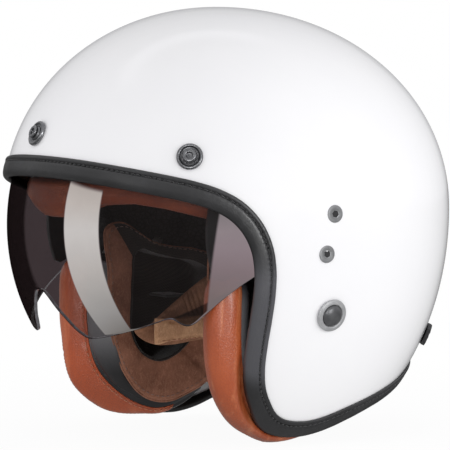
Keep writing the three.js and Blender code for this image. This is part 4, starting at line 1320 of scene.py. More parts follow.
# ---- edge trim, welt and stitching -----------------------------------------------------------
# Sections are (distance past the edge line, height over the shell).
TRIM_FRONT = [
    [3.2, 0.3], [3.35, 1.0], [4.1, 1.6], [6.5, 1.82], [9.6, 1.58], [11.6, 0.75], [12.6, -1.1],
    [11.9, -2.6], [10.6, -3.3],
]
TRIM_BACK = [
    [7.6, -3.3], [7.6, -2.75], [10.7, -2.75], [11.25, -1.9], [11.3, -1.0], [10.9, 0.3],
    [8.0, 0.35], [5.0, 0.35],
]
WELT = [
    [0.0, 0.3], [0.05, 0.95], [0.5, 1.45], [1.5, 1.75], [2.4, 1.5], [2.9, 0.95], [3.0, 0.3],
]


def flat_spaced(section, count):
    """A section at even spacing, measured in its own plane."""
    return spaced([[*point, 0] for point in section], count)[:, :2]


def build_trim():
    line = EdgeLine(1080)
    steps = np.linalg.norm(np.roll(line.points, -1, 0) - line.points, axis=1)
    arc, length = np.concatenate([[0], np.cumsum(steps)[:-1]]), steps.sum()
    count = int(round(length / 3.3))
    phase = arc / length * count * 2 * np.pi
    low, swell = lowered(line.points), swollen(line.points)
    unevenness = 0.1 * value_noise(line.points, 26, 3) + 0.05 * value_noise(line.points, 7, 5)

    wrap = []
    for across, height in np.vstack([flat_spaced(TRIM_FRONT, 24), TRIM_BACK]):
        pucker = 0.13 * math.exp(-(((across - 3.9) / 0.9) ** 2)) * (height > 0.5)
        out = height + pucker * np.cos(phase) + unevenness * (height > 0.4)
        wrap.append(line.offset(across + low + swell * max(across - 3.0, 0.0), out))
    obj = to_object("edge_trim_wrap", tube(np.stack(wrap, 1), looped=True), angle=60)
    finish(obj, "edge_trim", TRIM)

    welt = [
        line.offset(across + low, height + 0.05 * np.cos(phase) * (across > 1.6))
        for across, height in flat_spaced(WELT, 13)
    ]
    obj = to_object("edge_trim_welt", tube(np.stack(welt, 1), looped=True), angle=70)
    finish(obj, "trim_welt", TRIM)

    pitch = length / count
    parts = stitches(
        line.offset(3.12 + low, 1.28), line.normals,
        length=pitch * 0.7, gap=pitch * 0.3, radius=0.45, closed=True,
    )
    finish(joined("edge_trim_stitches", parts), "edge_trim", THREAD_BLACK, detail=True)


build_trim()


# ---- studs, screws and rivets ----------------------------------------------------------------
def on_surface(x, y, z):
    return on_shell(np.array([x, y, z], float))


STUDS = {
    "centre": on_surface(0, -119.3, 45.7),
    "left": on_surface(97.3, -73.3, 33.9),
    "right": on_surface(-97.3, -73.3, 33.9),
}
SCREWS = {"upper": on_surface(124.2, 5.7, 1.3), "lower": on_surface(123.4, 0.9, -21.3)}
RIVET = on_surface(117, 7.7, -56.6)

# Turned profiles are (radius, height along the axis).
STUD_RING = [
    (4.55, 0.3), (7.1, 0.25), (7.65, 0.7), (7.5, 1.7), (6.9, 2.25), (6.2, 2.3), (5.6, 1.75),
    (5.1, 1.45), (4.6, 1.5), (4.5, 1.2), (4.55, 0.3),
]
STUD_POST = [
    (0, 3.0), (1.5, 3.0), (1.75, 3.15), (1.95, 4.25), (2.2, 4.45), (3.3, 4.45), (3.75, 4.2),
    (3.85, 3.7), (3.35, 2.6), (3.45, 2.2), (4.15, 1.7), (4.2, 0.3), (2.2, 0.3), (2.2, -2.3),
    (0, -2.3),
]
RIVET_WASHER = [
    (6.5, 0.4), (9.2, 0.3), (9.6, 0.7), (9.45, 1.3), (8.9, 1.75), (7.6, 2.15), (7.0, 2.1),
    (6.55, 1.7), (6.5, 0.4),
]
RIVET_CAP = [
    (0, 4.2), (2.0, 4.1), (3.7, 3.75), (5.2, 3.05), (6.1, 2.1), (6.3, 1.3), (6.3, 0.4),
    (3.0, 0.4), (3.0, -2.9), (0, -2.9),
]
STRAP_PLATE = [(0, -3.6), (9.2, -3.6), (9.4, -3.9), (9.4, -4.9), (9.0, -5.2), (0, -5.2)]
SCREW_ROUND = [
    (2.1, -8.0), (2.1, -1.3), (5.0, -1.3), (5.1, -1.2), (5.1, -0.15), (5.0, 0.22), (4.75, 0.5),
    (4.3, 0.6), (3.2, 0.62), (2.75, 0.5),
]
SCREW_SOCKET = [(1.35, 0.48), (1.25, 0.4), (1.2, 0.14), (0.9, 0.12), (0.4, 0.12)]  # hexagonal


def build_studs():
    for side, origin in STUDS.items():
        normal = normal_at(origin)
        turned("stud_ring_body_" + side, "stud_ring_" + side, STUD_RING, origin, normal,
               GUNMETAL, radius=0.22, segments=96, angle=55)
        turned("stud_post_body_" + side, "stud_post_" + side, STUD_POST, origin, normal,
               GUNMETAL, radius=0.2)


def build_screws():
    angle = turn(96)
    hexagon = 1.5 / np.cos((angle + np.pi / 6) % (np.pi / 3) - np.pi / 6)
    rings = [
        xyz(radius * form * np.cos(angle), radius * form * np.sin(angle), height)
        for form, profile in ((1.0, SCREW_ROUND), (hexagon, SCREW_SOCKET))
        for radius, height in profile
    ]
    verts, faces = tube(rings)
    centres = np.stack([verts[list(face)].mean(0) for face in faces])
    radius, height = np.hypot(centres[:, 0], centres[:, 1]), centres[:, 2]
    # the socket's faces take the black plastic as painted shade in the recess
    deep = ((radius < 1.95) & (height > 0.1) & (height < 0.45)).astype(int)
    for place, origin in SCREWS.items():
        spin = 0.35 if place == "upper" else 0.0
        for sign, side in SIDES:
            shape = placed(verts, origin * [sign, 1, 1], [sign, 0, 0], spin), faces
            obj = to_object(f"side_screw_body_{place}_{side}", shape, deep, angle=40)
            finish(obj, f"side_screw_{place}_{side}", GREY, PLASTIC)


def build_rivets():
    for sign, side in SIDES:
        origin = RIVET * [sign, 1, 1]
        normal = normal_at(origin)
        for body, node, profile, material, radius in (
            ("rivet_washer_body_", "rivet_washer_", RIVET_WASHER, WASHER, 0.3),
            ("rivet_cap_body_", "rivet_cap_", RIVET_CAP, CAP_METAL, 0.5),
            ("strap_plate_body_", "strap_plate_", STRAP_PLATE, GREY, 0.25),
        ):
            turned(body + side, node + side, profile, origin, normal, material, radius)


build_studs()
build_screws()
build_rivets()

# ---- sun visor, arms, pins and base plates ---------------------------------------------------
# The lower edge: (distance from the middle, degrees below straight ahead about the hinge)
LENS_LOWER = np.array([
    [0, 16.2], [3, 16.3], [6, 17.0], [9.2, 18.5], [14, 21.3], [19.8, 24.4], [25, 27.6],
    [30, 29.8], [34, 30.6], [40, 30.7], [112, 30.7],
])
# The tab on its left: (x, degrees added)
LENS_TAB = np.array([
    [82, 0], [85, 0.6], [87, 4.6], [89, 5.9], [92, 5.9], [98, 4.1], [103, 2.3], [108, 0.6],
    [111, 0],
])
LENS_TOP = -24  # degrees, above straight ahead
LENS_ROWS, LENS_COLS = 50, 235
VISOR_PIN = [
    (0, 115.2), (4.6, 115.2), (5, 114.8), (5, 110.3), (8.4, 110.3), (8.4, 108.9), (6.5, 108.2),
    (2.4, 108.2), (2.0, 108.9), (0, 108.9),
]
VISOR_BASE = [
    (0, 115.6), (22.2, 115.6), (23.5, 116.6), (23.5, 117.7), (23.2, 118.0), (0, 118.0),
]


def visor_radius(x, inset):
    """The lens's distance from the hinge axis."""
    share = 1 - (np.abs(x) / (VISOR_HALF_WIDTH - inset)) ** VISOR_POWER
    return (VISOR_REACH - inset) * np.maximum(share, 0) ** (1 / VISOR_POWER)


def visor_x(radius, inset):
    """The lens's x at a distance from the hinge axis."""
    share = 1 - (radius / (VISOR_REACH - inset)) ** VISOR_POWER
    return (VISOR_HALF_WIDTH - inset) * np.maximum(share, 0) ** (1 / VISOR_POWER)


def about_hinge(x, radius, angle):
    return xyz(x, PIVOT_Y - radius * np.cos(angle), PIVOT_Z - radius * np.sin(angle))


def lens_lower_edge(x):
    """The lower edge in degrees, with its corners softened."""
    grid = np.arange(-125, 125.01, 0.1)
    drop = np.interp(np.abs(grid), LENS_LOWER[:, 0], LENS_LOWER[:, 1])
    drop = drop + np.where(grid > 0, np.interp(grid, LENS_TAB[:, 0], LENS_TAB[:, 1]), 0)
    kernel = np.exp(-0.5 * (np.arange(-30, 31) * 0.1 / 0.75) ** 2)
    drop = np.convolve(np.pad(drop, 30, mode="edge"), kernel / kernel.sum(), mode="valid")
    return np.interp(x, grid, drop)


def build_lens():
    x = np.linspace(-112.2, 112.2, 4001)
    run = np.cumsum(np.hypot(np.diff(x), np.diff(visor_radius(x, 0))))
    run = np.concatenate([[0], run])
    columns = np.interp(np.linspace(0, run[-1], LENS_COLS), run, x)
    rows = np.linspace(0, 1, LENS_ROWS)
    rows = rows + 0.21 * rows * (1 - rows) * (2 * rows - 1)
    lower = lens_lower_edge(columns)[None, :]
    angle = np.radians(LENS_TOP + (lower - LENS_TOP) * rows[:, None])

    def sheet(inset):
        x = columns[None, :] * (VISOR_HALF_WIDTH - inset) / VISOR_HALF_WIDTH
        return about_hinge(x, visor_radius(x, inset), angle)

    verts, faces = sheet_pair(sheet(0), sheet(VISOR_THICK))
    border = 2 * (LENS_ROWS + LENS_COLS - 2)
    index = [0] * (len(faces) - border) + [1] * border
    obj = to_object("sun_visor_lens", (verts, faces), index)
    for material in (LENS, LENS_EDGE):
        obj.data.materials.append(material)
    chamfer(obj, width=0.45, angle=40)
    finish(obj, "sun_visor", LENS, LENS_EDGE)


def build_visor_arms():
    """A leaf behind the lens on each side: a disc about the pin with a broad arm forward."""
    angle = turn(144)
    degrees = np.degrees(np.arctan2(np.sin(angle), np.cos(angle)))
    reach = 12.5 + 53 * ease(degrees, -30, -19) * (1 - ease(degrees, 24, 31))
    radius = lerp(5.3, reach[None, :], np.linspace(0, 1, 26)[:, None])
    outer, inner = (
        about_hinge(visor_x(radius, inset), radius, angle)
        for inset in (VISOR_THICK + 0.5, VISOR_THICK + 3.3)
    )
    arm = to_object("visor_arm_body_left", bowl(outer, inner))
    chamfer(arm, width=0.5, angle=40)
    for obj, side in both_sides(arm):
        finish(obj, "visor_arm_" + side, PLASTIC)


def build_visor_pins():
    origin = [0, PIVOT_Y, PIVOT_Z]
    for sign, side in SIDES:
        turned("visor_pin_body_" + side, "visor_pivot_pin_" + side, VISOR_PIN, origin,
               [sign, 0, 0], GREY, radius=0.3)
        turned("visor_base_body_" + side, "visor_base_plate_" + side, VISOR_BASE, origin,
               [sign, 0, 0], PLASTIC, radius=0.4, segments=96)


build_lens()
build_visor_arms()
build_visor_pins()

# ---- soft goods before the cloth run ---------------------------------------------------------
soft = []


def soften(obj, pins, most_out, most_in, pressure=4.0):
    """Puts a piece down for the cloth run, with the swell it may take each way in mm."""
    soft.append((obj, coords(obj), np.asarray(pins, float), most_out, most_in, pressure))


# Cheek roll stations, from the top down and back: (x, y, z, half width, half height)
ROLL = np.array([
    [89.5, -42.5, -30, 12.0, 13.0], [89.0, -45.0, -45, 13.0, 14.4],
    [88.7, -45.4, -60, 13.2, 14.6], [88.2, -45.0, -74, 13.2, 14.6],
    [87.0, -43.0, -87, 13.0, 14.5], [84.6, -38.4, -99, 12.6, 14.3],
    [80.6, -30.6, -108.6, 12.0, 14.0], [75.6, -20.6, -115.0, 11.2, 13.6],
    [71.2, -9.0, -118.0, 10.4, 13.2], [69.2, 3.0, -118.4, 10.0, 12.8],
    [69.2, 15.0, -116.6, 9.6, 12.0], [70.6, 27.0, -112.8, 8.4, 10.4],
])
# height of the inner seam on the section at each station, as a share of its half height
INNER_SEAM = np.array([0.2, 0.22, 0.24, 0.25, 0.32, 0.4, 0.46, 0.58, 0.68, 0.72, 0.72, 0.7])
ROLL_POWER = 2.3  # exponent of the section
ROLL_ROWS, ROLL_COLS = 84, 60
OUTER_SEAM_COL, INNER_SEAM_COL = 3, 33  # the leather runs between them
STATION = 11  # path places times this are station numbers


def roll_frames(place):
    """Centres, outward directions, half widths and half heights along the roll."""
    station = curve(ROLL, place)
    before, after = (curve(ROLL, np.clip(place + d, 0, 1))[:, :3] for d in (-1e-3, 1e-3))
    tangent = unit(after - before)
    outward = unit(xyz(0, tangent[:, 2], -tangent[:, 1]))
    flip = (outward[:, 1] > 0.5) | (outward[:, 2] > 0.9)
    outward[flip] *= -1
    return station[:, :3], outward, station[:, 3], station[:, 4]


def round_ends(place, cap):
    over = np.maximum(0, np.maximum((cap - place) / cap, (place - 1 + cap) / cap))
    return np.sqrt(np.maximum(1 - over**2, 0.03))


roll_place = np.linspace(0, 1, ROLL_ROWS)
roll_centre, roll_out, roll_width, roll_height = roll_frames(roll_place)


def build_roll():
    end = round_ends(roll_place, 0.09)[:, None]
    station = roll_place * STATION
    seam = np.interp(station, np.arange(12), INNER_SEAM)
    inner = np.pi - np.arcsin(np.clip(seam, 0, 1) ** (ROLL_POWER / 2))
    outer = -math.asin(0.30 ** (ROLL_POWER / 2))
    outer = outer + np.interp(station, [0, 5, 7, 9, 11], [0, 0, 0.15, 0.5, 0.6])
    marks = [0, OUTER_SEAM_COL, INNER_SEAM_COL, ROLL_COLS]
    angle = np.array([
        np.interp(np.arange(ROLL_COLS), marks, [a - 0.35, a, b, a - 0.35 + 2 * np.pi])
        for a, b in zip(outer, inner)
    ])
    cos, sin = np.cos(angle), np.sin(angle)
    power, shrink = 2 / ROLL_POWER, 1.2  # shrink leaves room for the swell
    across = np.sign(cos) * np.abs(cos) ** power * (roll_width[:, None] - shrink) * end
    out = np.sign(sin) * np.abs(sin) ** power * (roll_height[:, None] - shrink) * end
    upper = (1 - ease(roll_place, 0.55, 0.75))[:, None]
    inner_side = ease(-cos, 0.0, 1.0) * ease(sin, -0.1, 0.5) * upper
    out = out * (1 - 0.24 * inner_side)
    across = across + 1.4 * inner_side
    rings = roll_centre[:, None, :] + across[..., None] * np.array([1.0, 0, 0])
    verts, faces = tube(rings + out[..., None] * roll_out[:, None, :])

    def is_gusset(face):
        ring_verts = [i for i in face if i < ROLL_ROWS * ROLL_COLS]
        cols = [i % ROLL_COLS for i in ring_verts]
        low, high = min(cols), max(cols)
        if high - low > ROLL_COLS / 2:
            low, high = high, low
        place = min(i // ROLL_COLS for i in ring_verts) / (ROLL_ROWS - 1)
        leather = OUTER_SEAM_COL <= low < INNER_SEAM_COL and low < high and place < 0.90
        return int(not leather)

    index = [is_gusset(face) for face in faces]
    obj = to_object("cheek_roll_cushion_left", (verts, faces), index)
    pins = np.zeros((ROLL_ROWS, ROLL_COLS))
    pins[:, 41:55] = 1.0
    pins[:2] = 0.8
    pins[-3:] = 1.0
    soften(obj, np.append(pins.ravel(), [1, 1]), most_out=1.7, most_in=-0.8)
    return obj


def build_band():
    """The dark band between the roll and the cheek face."""
    place = 0.02 + 0.96 * np.linspace(0, 1, 72)
    centre, outward, width, half_height = roll_frames(place)
    heights = half_height * (0.35 + 0.65 * round_ends(place, 0.08))
    full = np.interp(place * STATION, [0, 5.5, 7.2, 11], [1, 1, 0.0, 0.0])
    inner = 60.6 + 1.4 * np.maximum(0, (centre[:, 2] + 75) / 45)
    outer_x = centre[:, 0] - width + 1.2
    inner_x = np.minimum(inner, outer_x - 2.2)
    t = np.linspace(0, 1, 15)[:, None]
    rings = []
    for i, (x1, height) in enumerate(zip(outer_x, heights)):
        x0 = lerp(x1 - 2.4, inner_x[i], full[i])
        start, end = np.array([x1, 0.2 * height]), np.array([x0 + 0.2, -0.40 * height])
        bulge = np.array([start[1] - end[1], end[0] - start[0]])
        bulge = bulge / np.linalg.norm(bulge) * (1 if bulge[1] > 0 else -1)
        rise = bulge * (2.0 * 4 * t * (1 - t)) * min(1, (x1 - x0) / 9)
        ring = np.vstack([start + (end - start) * t + rise, [
            [x0 - 0.1, -0.52 * height], [x0, -0.7 * height], [x0 + 0.2, -0.88 * height],
            [x0 + 1.0, -0.93 * height], [x1 - 1, -0.93 * height], [x1, -0.86 * height],
            [x1, -0.4 * height],
        ]])
        base = xyz(ring[:, 0], centre[i, 1], centre[i, 2])
        rings.append(base + outward[i] * ring[:, 1:])
    obj = to_object("cheek_band_side_left", tube(rings))
    points = coords(obj)
    uneven = 0.25 * value_noise(points, 14, 11) + 0.12 * value_noise(points, 5, 12)
    set_coords(obj, points + normals(obj) * uneven[:, None])
    subdivide(obj)
    return obj


# Cheek pad outlines as (y, z): the core behind the face, the face and the ear opening
PAD_CORE = [
    [-30, -13], [-24, -12.5], [-17, -17], [-8, -23], [4, -26], [20, -28], [34, -33], [43, -43],
    [47, -58], [46, -74], [41, -88], [31, -98], [18, -102.5], [4, -103.5], [-8, -102],
    [-18, -97], [-25, -89], [-28.6, -78], [-29.5, -64], [-29.8, -48], [-30, -30],
]
PAD_FACE = [
    [-36, -10.8], [-41, -14], [-42, -24], [-41.2, -38], [-41, -52], [-40.6, -66], [-39, -79],
    [-35.2, -91], [-31.6, -100], [-27, -108.5], [-21.5, -114.6], [-14.5, -119], [-6.5, -121.2],
    [2, -121], [12, -117.5], [23, -112.5], [33, -105], [40, -95.5], [44.8, -84], [47, -70],
    [46.4, -56], [42.4, -43], [33.5, -33], [20, -28], [4, -26], [-8, -23], [-17, -17.5],
    [-25, -12.3], [-30, -10.6],
]
EAR = [
    [-26, -76], [-19, -90], [-6, -96], [6, -92], [16, -83], [24, -69], [30, -53], [30, -41],
    [20, -34.5], [6, -32], [-8, -28.5], [-17, -26], [-23, -30], [-25.5, -45], [-26, -60],
]
PAD_CENTRE = np.array([-5.0, -65.0])
PAD_COLS = 132
ON_FACE, ON_LIP, IN_POCKET, ON_BACK = range(4)


def loop_radius(loop):
    """An outline's distance from the pad's centre at each of the pad's columns."""
    y, z = (spaced_flat(loop, 1200, closed=True) - PAD_CENTRE).T
    angle, radius = np.arctan2(z, y), np.hypot(y, z)
    order = np.argsort(angle)
    angle, radius = angle[order], np.tile(radius[order], 3)
    angle = np.concatenate([angle - 2 * np.pi, angle, angle + 2 * np.pi])
    return np.interp((turn(PAD_COLS) + np.pi) % (2 * np.pi) - np.pi, angle, radius)


def face_x(z):
    return 59.4 - 1.9 * ease(-z, 96, 110) + 3.6 * ease(z, -40, -15)


def cheek_depth(z, under):
    """Depth of something that far inside the liner's cheek, and deeper up its slope."""
    return FOAM_CHEEK + under + 19 * ease(z, -58, -36)


def back_x(y, z):
    return side_point(y, z, cheek_depth(z, 7.1))[..., 0]


def pad_rings():
    """Rings from the bottom of the ear pocket over the face and round to the back."""
    face, core = loop_radius(PAD_FACE), loop_radius(PAD_CORE) - 1.0
    core = np.minimum(core, face - 1.5)
    ear = np.minimum(loop_radius(EAR), core - 2.2)
    rings, zones = [], []

    def ring(zone, radius, x_of):
        y = PAD_CENTRE[0] + radius * np.cos(turn(PAD_COLS))
        z = PAD_CENTRE[1] + radius * np.sin(turn(PAD_COLS))
        rings.append(xyz(x_of(y, z), y, z))
        zones.append(zone)

    for k in (0.1, 0.35, 0.6, 0.8, 0.92):
        ring(IN_POCKET, ear * k, lambda y, z: np.minimum(83.5, back_x(y, z) - 3))
    for x in (82.0, 76.0, 70.0, 65.0, 62.5):
        ring(IN_POCKET, ear * (0.965 + 0.004 * (82 - x) / 4),
             lambda y, z: np.minimum(x, back_x(y, z) - 3.4 - (82 - x) * 0.1))
    ring(ON_LIP, ear, lambda y, z: face_x(z) + 1.2)
    for t in np.linspace(0.03, 1, 24):
        rise = 2.0 * ease(t, 0.9, 1.02) ** 2 + 0.5 * (1 - ease(t, 0, 0.1))
        ring(ON_FACE, ear + (face - ear) * t, lambda y, z: face_x(z) + 0.2 + rise)
    ring(ON_FACE, face * 1.002, lambda y, z: face_x(z) + 2.9)
    ring(ON_BACK, face - 0.8, lambda y, z: face_x(z) + 3.4)
    ring(ON_BACK, np.minimum(core + 0.9, face - 1.2), lambda y, z: face_x(z) + 3.5)
    for t in (0.12, 0.4, 0.7, 0.92):
        ring(ON_BACK, core + 0.1, lambda y, z: lerp(face_x(z) + 4.2, back_x(y, z), t))
    for k in (0.97, 0.8, 0.55, 0.3, 0.08):
        ring(ON_BACK, core * k, back_x)
    return np.stack(rings), zones


def build_pad():
    """The pad and its rings' zones. Its pocket and back are of dark fabric; its upper rear gets
    the dark fabric as painted shade.
    """
    rings, zones = pad_rings()
    verts, faces = tube(rings)

    def is_dark(face):
        ring_verts = [i for i in face if i < len(zones) * PAD_COLS]
        degrees = min(i % PAD_COLS for i in ring_verts) * 360 / PAD_COLS
        hidden = max(zones[i // PAD_COLS] for i in ring_verts) >= IN_POCKET
        # the upper rear takes the dark fabric as painted shade
        return int(hidden or 8 < degrees < 119)

    index = [is_dark(face) for face in faces]
    obj = to_object("cheek_pad_cushion_left", (verts, faces), index)
    held = {ON_FACE: 0.0, ON_LIP: 0.35, IN_POCKET: 1.0, ON_BACK: 1.0}
    pins = np.repeat([held[zone] for zone in zones], PAD_COLS)
    soften(obj, np.append(pins, [1, 1]), most_out=1.9, most_in=-1.2, pressure=3.0)
    return obj, zones


# Brow band and neck roll: long crowned cushions following the head
BROW_GRID, NECK_GRID = (19, 111), (23, 97)


def cushion_grid(rows, cols):
    return np.meshgrid(np.linspace(0, 1, rows), np.linspace(0, 1, cols), indexing="ij")


def crowned(up, along, gain, least):
    ends = np.sqrt(np.maximum(1 - (2 * along - 1) ** 2, 0))
    return np.sqrt(np.maximum(1 - (2 * up - 1) ** 2, 0)) * np.minimum(1, gain * ends + least)


def cushion(name, outer, inner):
    obj = to_object(name, sheet_pair(outer, inner))
    count = outer[..., 0].size
    pins = np.concatenate([np.ones(count), np.zeros(count)])
    soften(obj, pins, most_out=1.6, most_in=-0.6)
    return obj


def build_brow():
    up, along = cushion_grid(*BROW_GRID)
    azimuth = np.radians(lerp(-66, 66, along))
    low = np.interp(
        np.degrees(np.abs(azimuth)),
        [0, 4, 12, 19, 26, 35, 45, 59, 66],
        [-3, -2.8, 1, 4.6, 5.6, 6.2, 3.6, -2.5, -4],
    )
    z = lerp(low, 34, up)
    back = lerp(14.0, FOAM_TOP + 1.3, ease(z, 17.5, 24.0)) + 3.0 * (1 - ease(up, 0, 0.18))
    front = FOAM_TOP + 3.8 + 7.0 * crowned(up, along, gain=2.2, least=0.1)
    return cushion(
        "brow_band_cushion", point_at(azimuth, z, back), point_at(azimuth, z, front)
    )


def build_neck():
    up, along = cushion_grid(*NECK_GRID)
    azimuth = np.radians(180 + lerp(-46, 46, along))
    low = -88 - 14 * ease(np.abs(azimuth - np.pi), np.radians(12), np.radians(46))
    z = lerp(low, -34, up)
    clear = ease(z, -56, -38)
    back = FOAM_CHEEK + 2.3 + 9 * clear
    front = back + 2.6 + (12 - 5 * clear) * crowned(up, along, gain=1.8, least=0.15)
    return cushion("neck_roll_cushion", point_at(azimuth, z, back), point_at(azimuth, z, front))


roll = build_roll()
band = build_band()
pad, pad_zones = build_pad()
brow = build_brow()
neck = build_neck()

# ---- cloth run -------------------------------------------------------------------------------
CLOTH_FRAMES = 20


def add_cloth(obj, pins, pressure):
    group = obj.vertex_groups.new(name="pin")
    for weight in np.unique(pins):
        if weight > 0:
            group.add(np.nonzero(pins == weight)[0].tolist(), float(weight), "REPLACE")
    cloth = obj.modifiers.new("cloth", "CLOTH")
    settings = cloth.settings
    settings.quality, settings.mass = 6, 0.35
    settings.tension_stiffness = settings.compression_stiffness = 18
    settings.shear_stiffness, settings.bending_stiffness = 8, 0.6
    settings.use_pressure, settings.uniform_pressure_force = True, pressure
    settings.vertex_group_mass, settings.pin_stiffness = "pin", 1.0
    settings.effector_weights.gravity = 0.0
    cloth.point_cache.frame_start, cloth.point_cache.frame_end = 1, CLOTH_FRAMES


def run_cloth():
    """Inflates all the soft pieces together and keeps a limited share of the movement."""
    for obj, _, pins, _, _, pressure in soft:
        add_cloth(obj, pins, pressure)
    for number in range(1, CLOTH_FRAMES + 1):
        scene.frame_set(number)
    graph = bpy.context.evaluated_depsgraph_get()
    moved = []
    for obj, *_ in soft:
        moved.append(mesh_points(obj.evaluated_get(graph).to_mesh()))
        obj.evaluated_get(graph).to_mesh_clear()
    for (obj, rest, _, most_out, most_in, _), points in zip(soft, moved):
        obj.modifiers.clear()
        normal, shift = normals(obj), points - rest
        swell = np.sum(shift * normal, -1)
        drift = shift - normal * swell[:, None]
        size = np.linalg.norm(drift, axis=-1, keepdims=True)
        drift = drift * np.minimum(1, 1.0 / np.maximum(size, 1e-9))
        set_coords(obj, rest + normal * np.clip(swell, most_in, most_out)[:, None] + drift)
    scene.frame_set(1)


run_cloth()


# ---- cheek rolls and bands -------------------------------------------------------------------
def clear_of_shell(points):
    """Moves points inside the shell, trim or liner inwards, along the shell's normal."""
    depth, normal = depth_of(points)
    past = past_edge(points)
    need = lerp(4.2, -12, ease(past, 13.6, 18.6))
    feet = on_shell(points)
    rim = foam_rim(feet)
    in_foam = lerp(foam_depth(points) + 1.3, -12, ease(past, rim + 2.0, rim + 9.0))
    return points - normal * np.maximum(np.maximum(need, in_foam) - depth, 0)[..., None]


def crease_roll():
    """Pinches the roll along its seams and creases the leather. Returns its grids."""
    set_coords(roll, clear_of_shell(coords(roll)))
    grid, grid_normals = grids(roll, ROLL_ROWS, ROLL_COLS)
    cols = np.arange(ROLL_COLS)[None, :]
    from_inner, from_outer = np.abs(cols - INNER_SEAM_COL), np.abs(cols - OUTER_SEAM_COL)
    pinch = 0.75 * bell(from_inner, 1.1) + 0.5 * bell(from_outer, 1.1)
    run = roll_place[:, None] * 250
    crease = 0.30 * value_noise(xyz(run * 0.12, cols * 1.5, 0), 4.5, 21)
    crease += 0.22 * value_noise(xyz(run, cols * 1.2, 0), 17, 22)
    crease += 0.16 * value_noise(xyz(run, cols * 0.35, 0), 6.5, 23) * bell(from_inner, 5.0)
    leather = (cols >= OUTER_SEAM_COL) & (cols <= INNER_SEAM_COL)
    crease = crease * leather * (1 - bell(np.minimum(from_inner, from_outer), 1.5))
    points = coords(roll)
    creased = grid + grid_normals * (crease - pinch)[..., None]
    points[: ROLL_ROWS * ROLL_COLS] = creased.reshape(-1, 3)
    set_coords(roll, points)
    return grids(roll, ROLL_ROWS, ROLL_COLS)


def settle(obj, side):
    """The rolls differ: the left hangs lower at the back and the right is fuller in front."""
    points = coords(obj)
    on_left = points * [np.sign(points[:, 0].mean()), 1, 1]
    squares = (on_left[:, None, 1:] - roll_centre[None, :, 1:]) ** 2
    near = np.argmin(squares.sum(-1), 1)
    place = roll_place[near]
    if side == "left":
        points[:, 2] -= 3.2 * ease(place, 0.62, 0.76) * (1 - ease(place, 0.88, 1.0))
        points[:, 2] += 2.0 * ease(place, 0.90, 1.0)
    else:
        points[:, 2] += 5.0 * ease(place, 0.74, 0.95)
        offset = on_left - roll_centre[near]
        across = offset[:, 0] / roll_width[near]
        out = np.sum(offset * roll_out[near], -1) / roll_height[near]
        fuller = ease(across, -0.5, 0.5) * ease(out, -0.3, 0.5)
        fuller = fuller * ease(place, 0.30, 0.50) * (1 - ease(place, 0.58, 0.74))
        push = across[:, None] * np.array([-1.0, 0, 0]) * 0.8
        push = unit(push + out[:, None] * roll_out[near] * 1.2)
        points = points + push * (5.2 * fuller)[:, None]
    set_coords(obj, points)
    return points


def finish_rolls():
    grid, grid_normals = crease_roll()
    subdivide(roll)
    span, seam = slice(2, int(ROLL_ROWS * 0.84)), INNER_SEAM_COL
    line, line_normals = resampled(grid[span, seam], grid_normals[span, seam], 260)
    shape = cord(line, line_normals, radius=0.62, rise=0.12, sides=14, closed=False)
    piping = to_object("cheek_roll_piping_left", shape)
    beside = 0.35 * grid[span, seam - 1] + 0.65 * grid[span, seam - 2]
    line, line_normals = resampled(beside, grid_normals[span, seam - 2], 260)
    parts = stitches(line, line_normals, radius=0.3, rise=0.12)
    sewing = joined("cheek_roll_stitches_left", parts)
    for piece, materials in (
        (roll, (LEATHER, GUSSET)), (piping, (LEATHER,)), (sewing, (THREAD_TAN,))
    ):
        for obj, side in both_sides(piece):
            points = settle(obj, side)
            if piece is roll and side == "right":
                for face in obj.data.polygons:
                    if points[face.vertices[0]][1] > 3.0:
                        face.material_index = 1
            finish(obj, "cheek_roll_" + side, *materials, detail=piece is not roll)


finish_rolls()
for obj, side in both_sides(band):
    finish(obj, "cheek_band_" + side, GUSSET)

# ---- cheek pads ------------------------------------------------------------------------------
# Creases in the pad's face: (y, z, direction in radians, length, depth)
PAD_CREASES = [
    (-20, -95, 1.15, 26, 0.9), (-9, -104, 1.35, 20, 0.8), (22, -100, 2.4, 30, 1.1),
    (-33, -70, 1.45, 30, 0.6), (30, -60, 1.2, 34, 0.6),
]


def crease_pad():
    """Holds the pad clear of the liner and adds soft folds to its face."""
    points = coords(pad)
    depth, normal = depth_of(points)
    outer = (points[:, 0] > 66)[:, None]
    points = points - normal * np.maximum(15.0 - depth, 0)[:, None] * outer
    count = len(pad_zones) * PAD_COLS
    x, y, z = points[:count].T
    on_face = np.repeat([zone in (ON_FACE, ON_LIP) for zone in pad_zones], PAD_COLS)
    fold = 0.5 * value_noise(xyz(y, z * 0.45, 0), 11, 31)
    fold += 0.25 * value_noise(xyz(y, z, 0), 5, 32)
    for crease_y, crease_z, angle, length, deep in PAD_CREASES:
        cos, sin = math.cos(angle), math.sin(angle)
        along = (y - crease_y) * cos + (z - crease_z) * sin
        across = -(y - crease_y) * sin + (z - crease_z) * cos
        reach = np.exp(-((along / (length / 2)) ** 4))
        fold -= deep * bell(across, 1.5) * reach
        fold += 0.45 * deep * bell(across - 3.2, 2.2) * reach
    x = x - fold * on_face
    points[:count, 0] = np.where(on_face, np.maximum(x, 55.9), x)
    set_coords(pad, points)


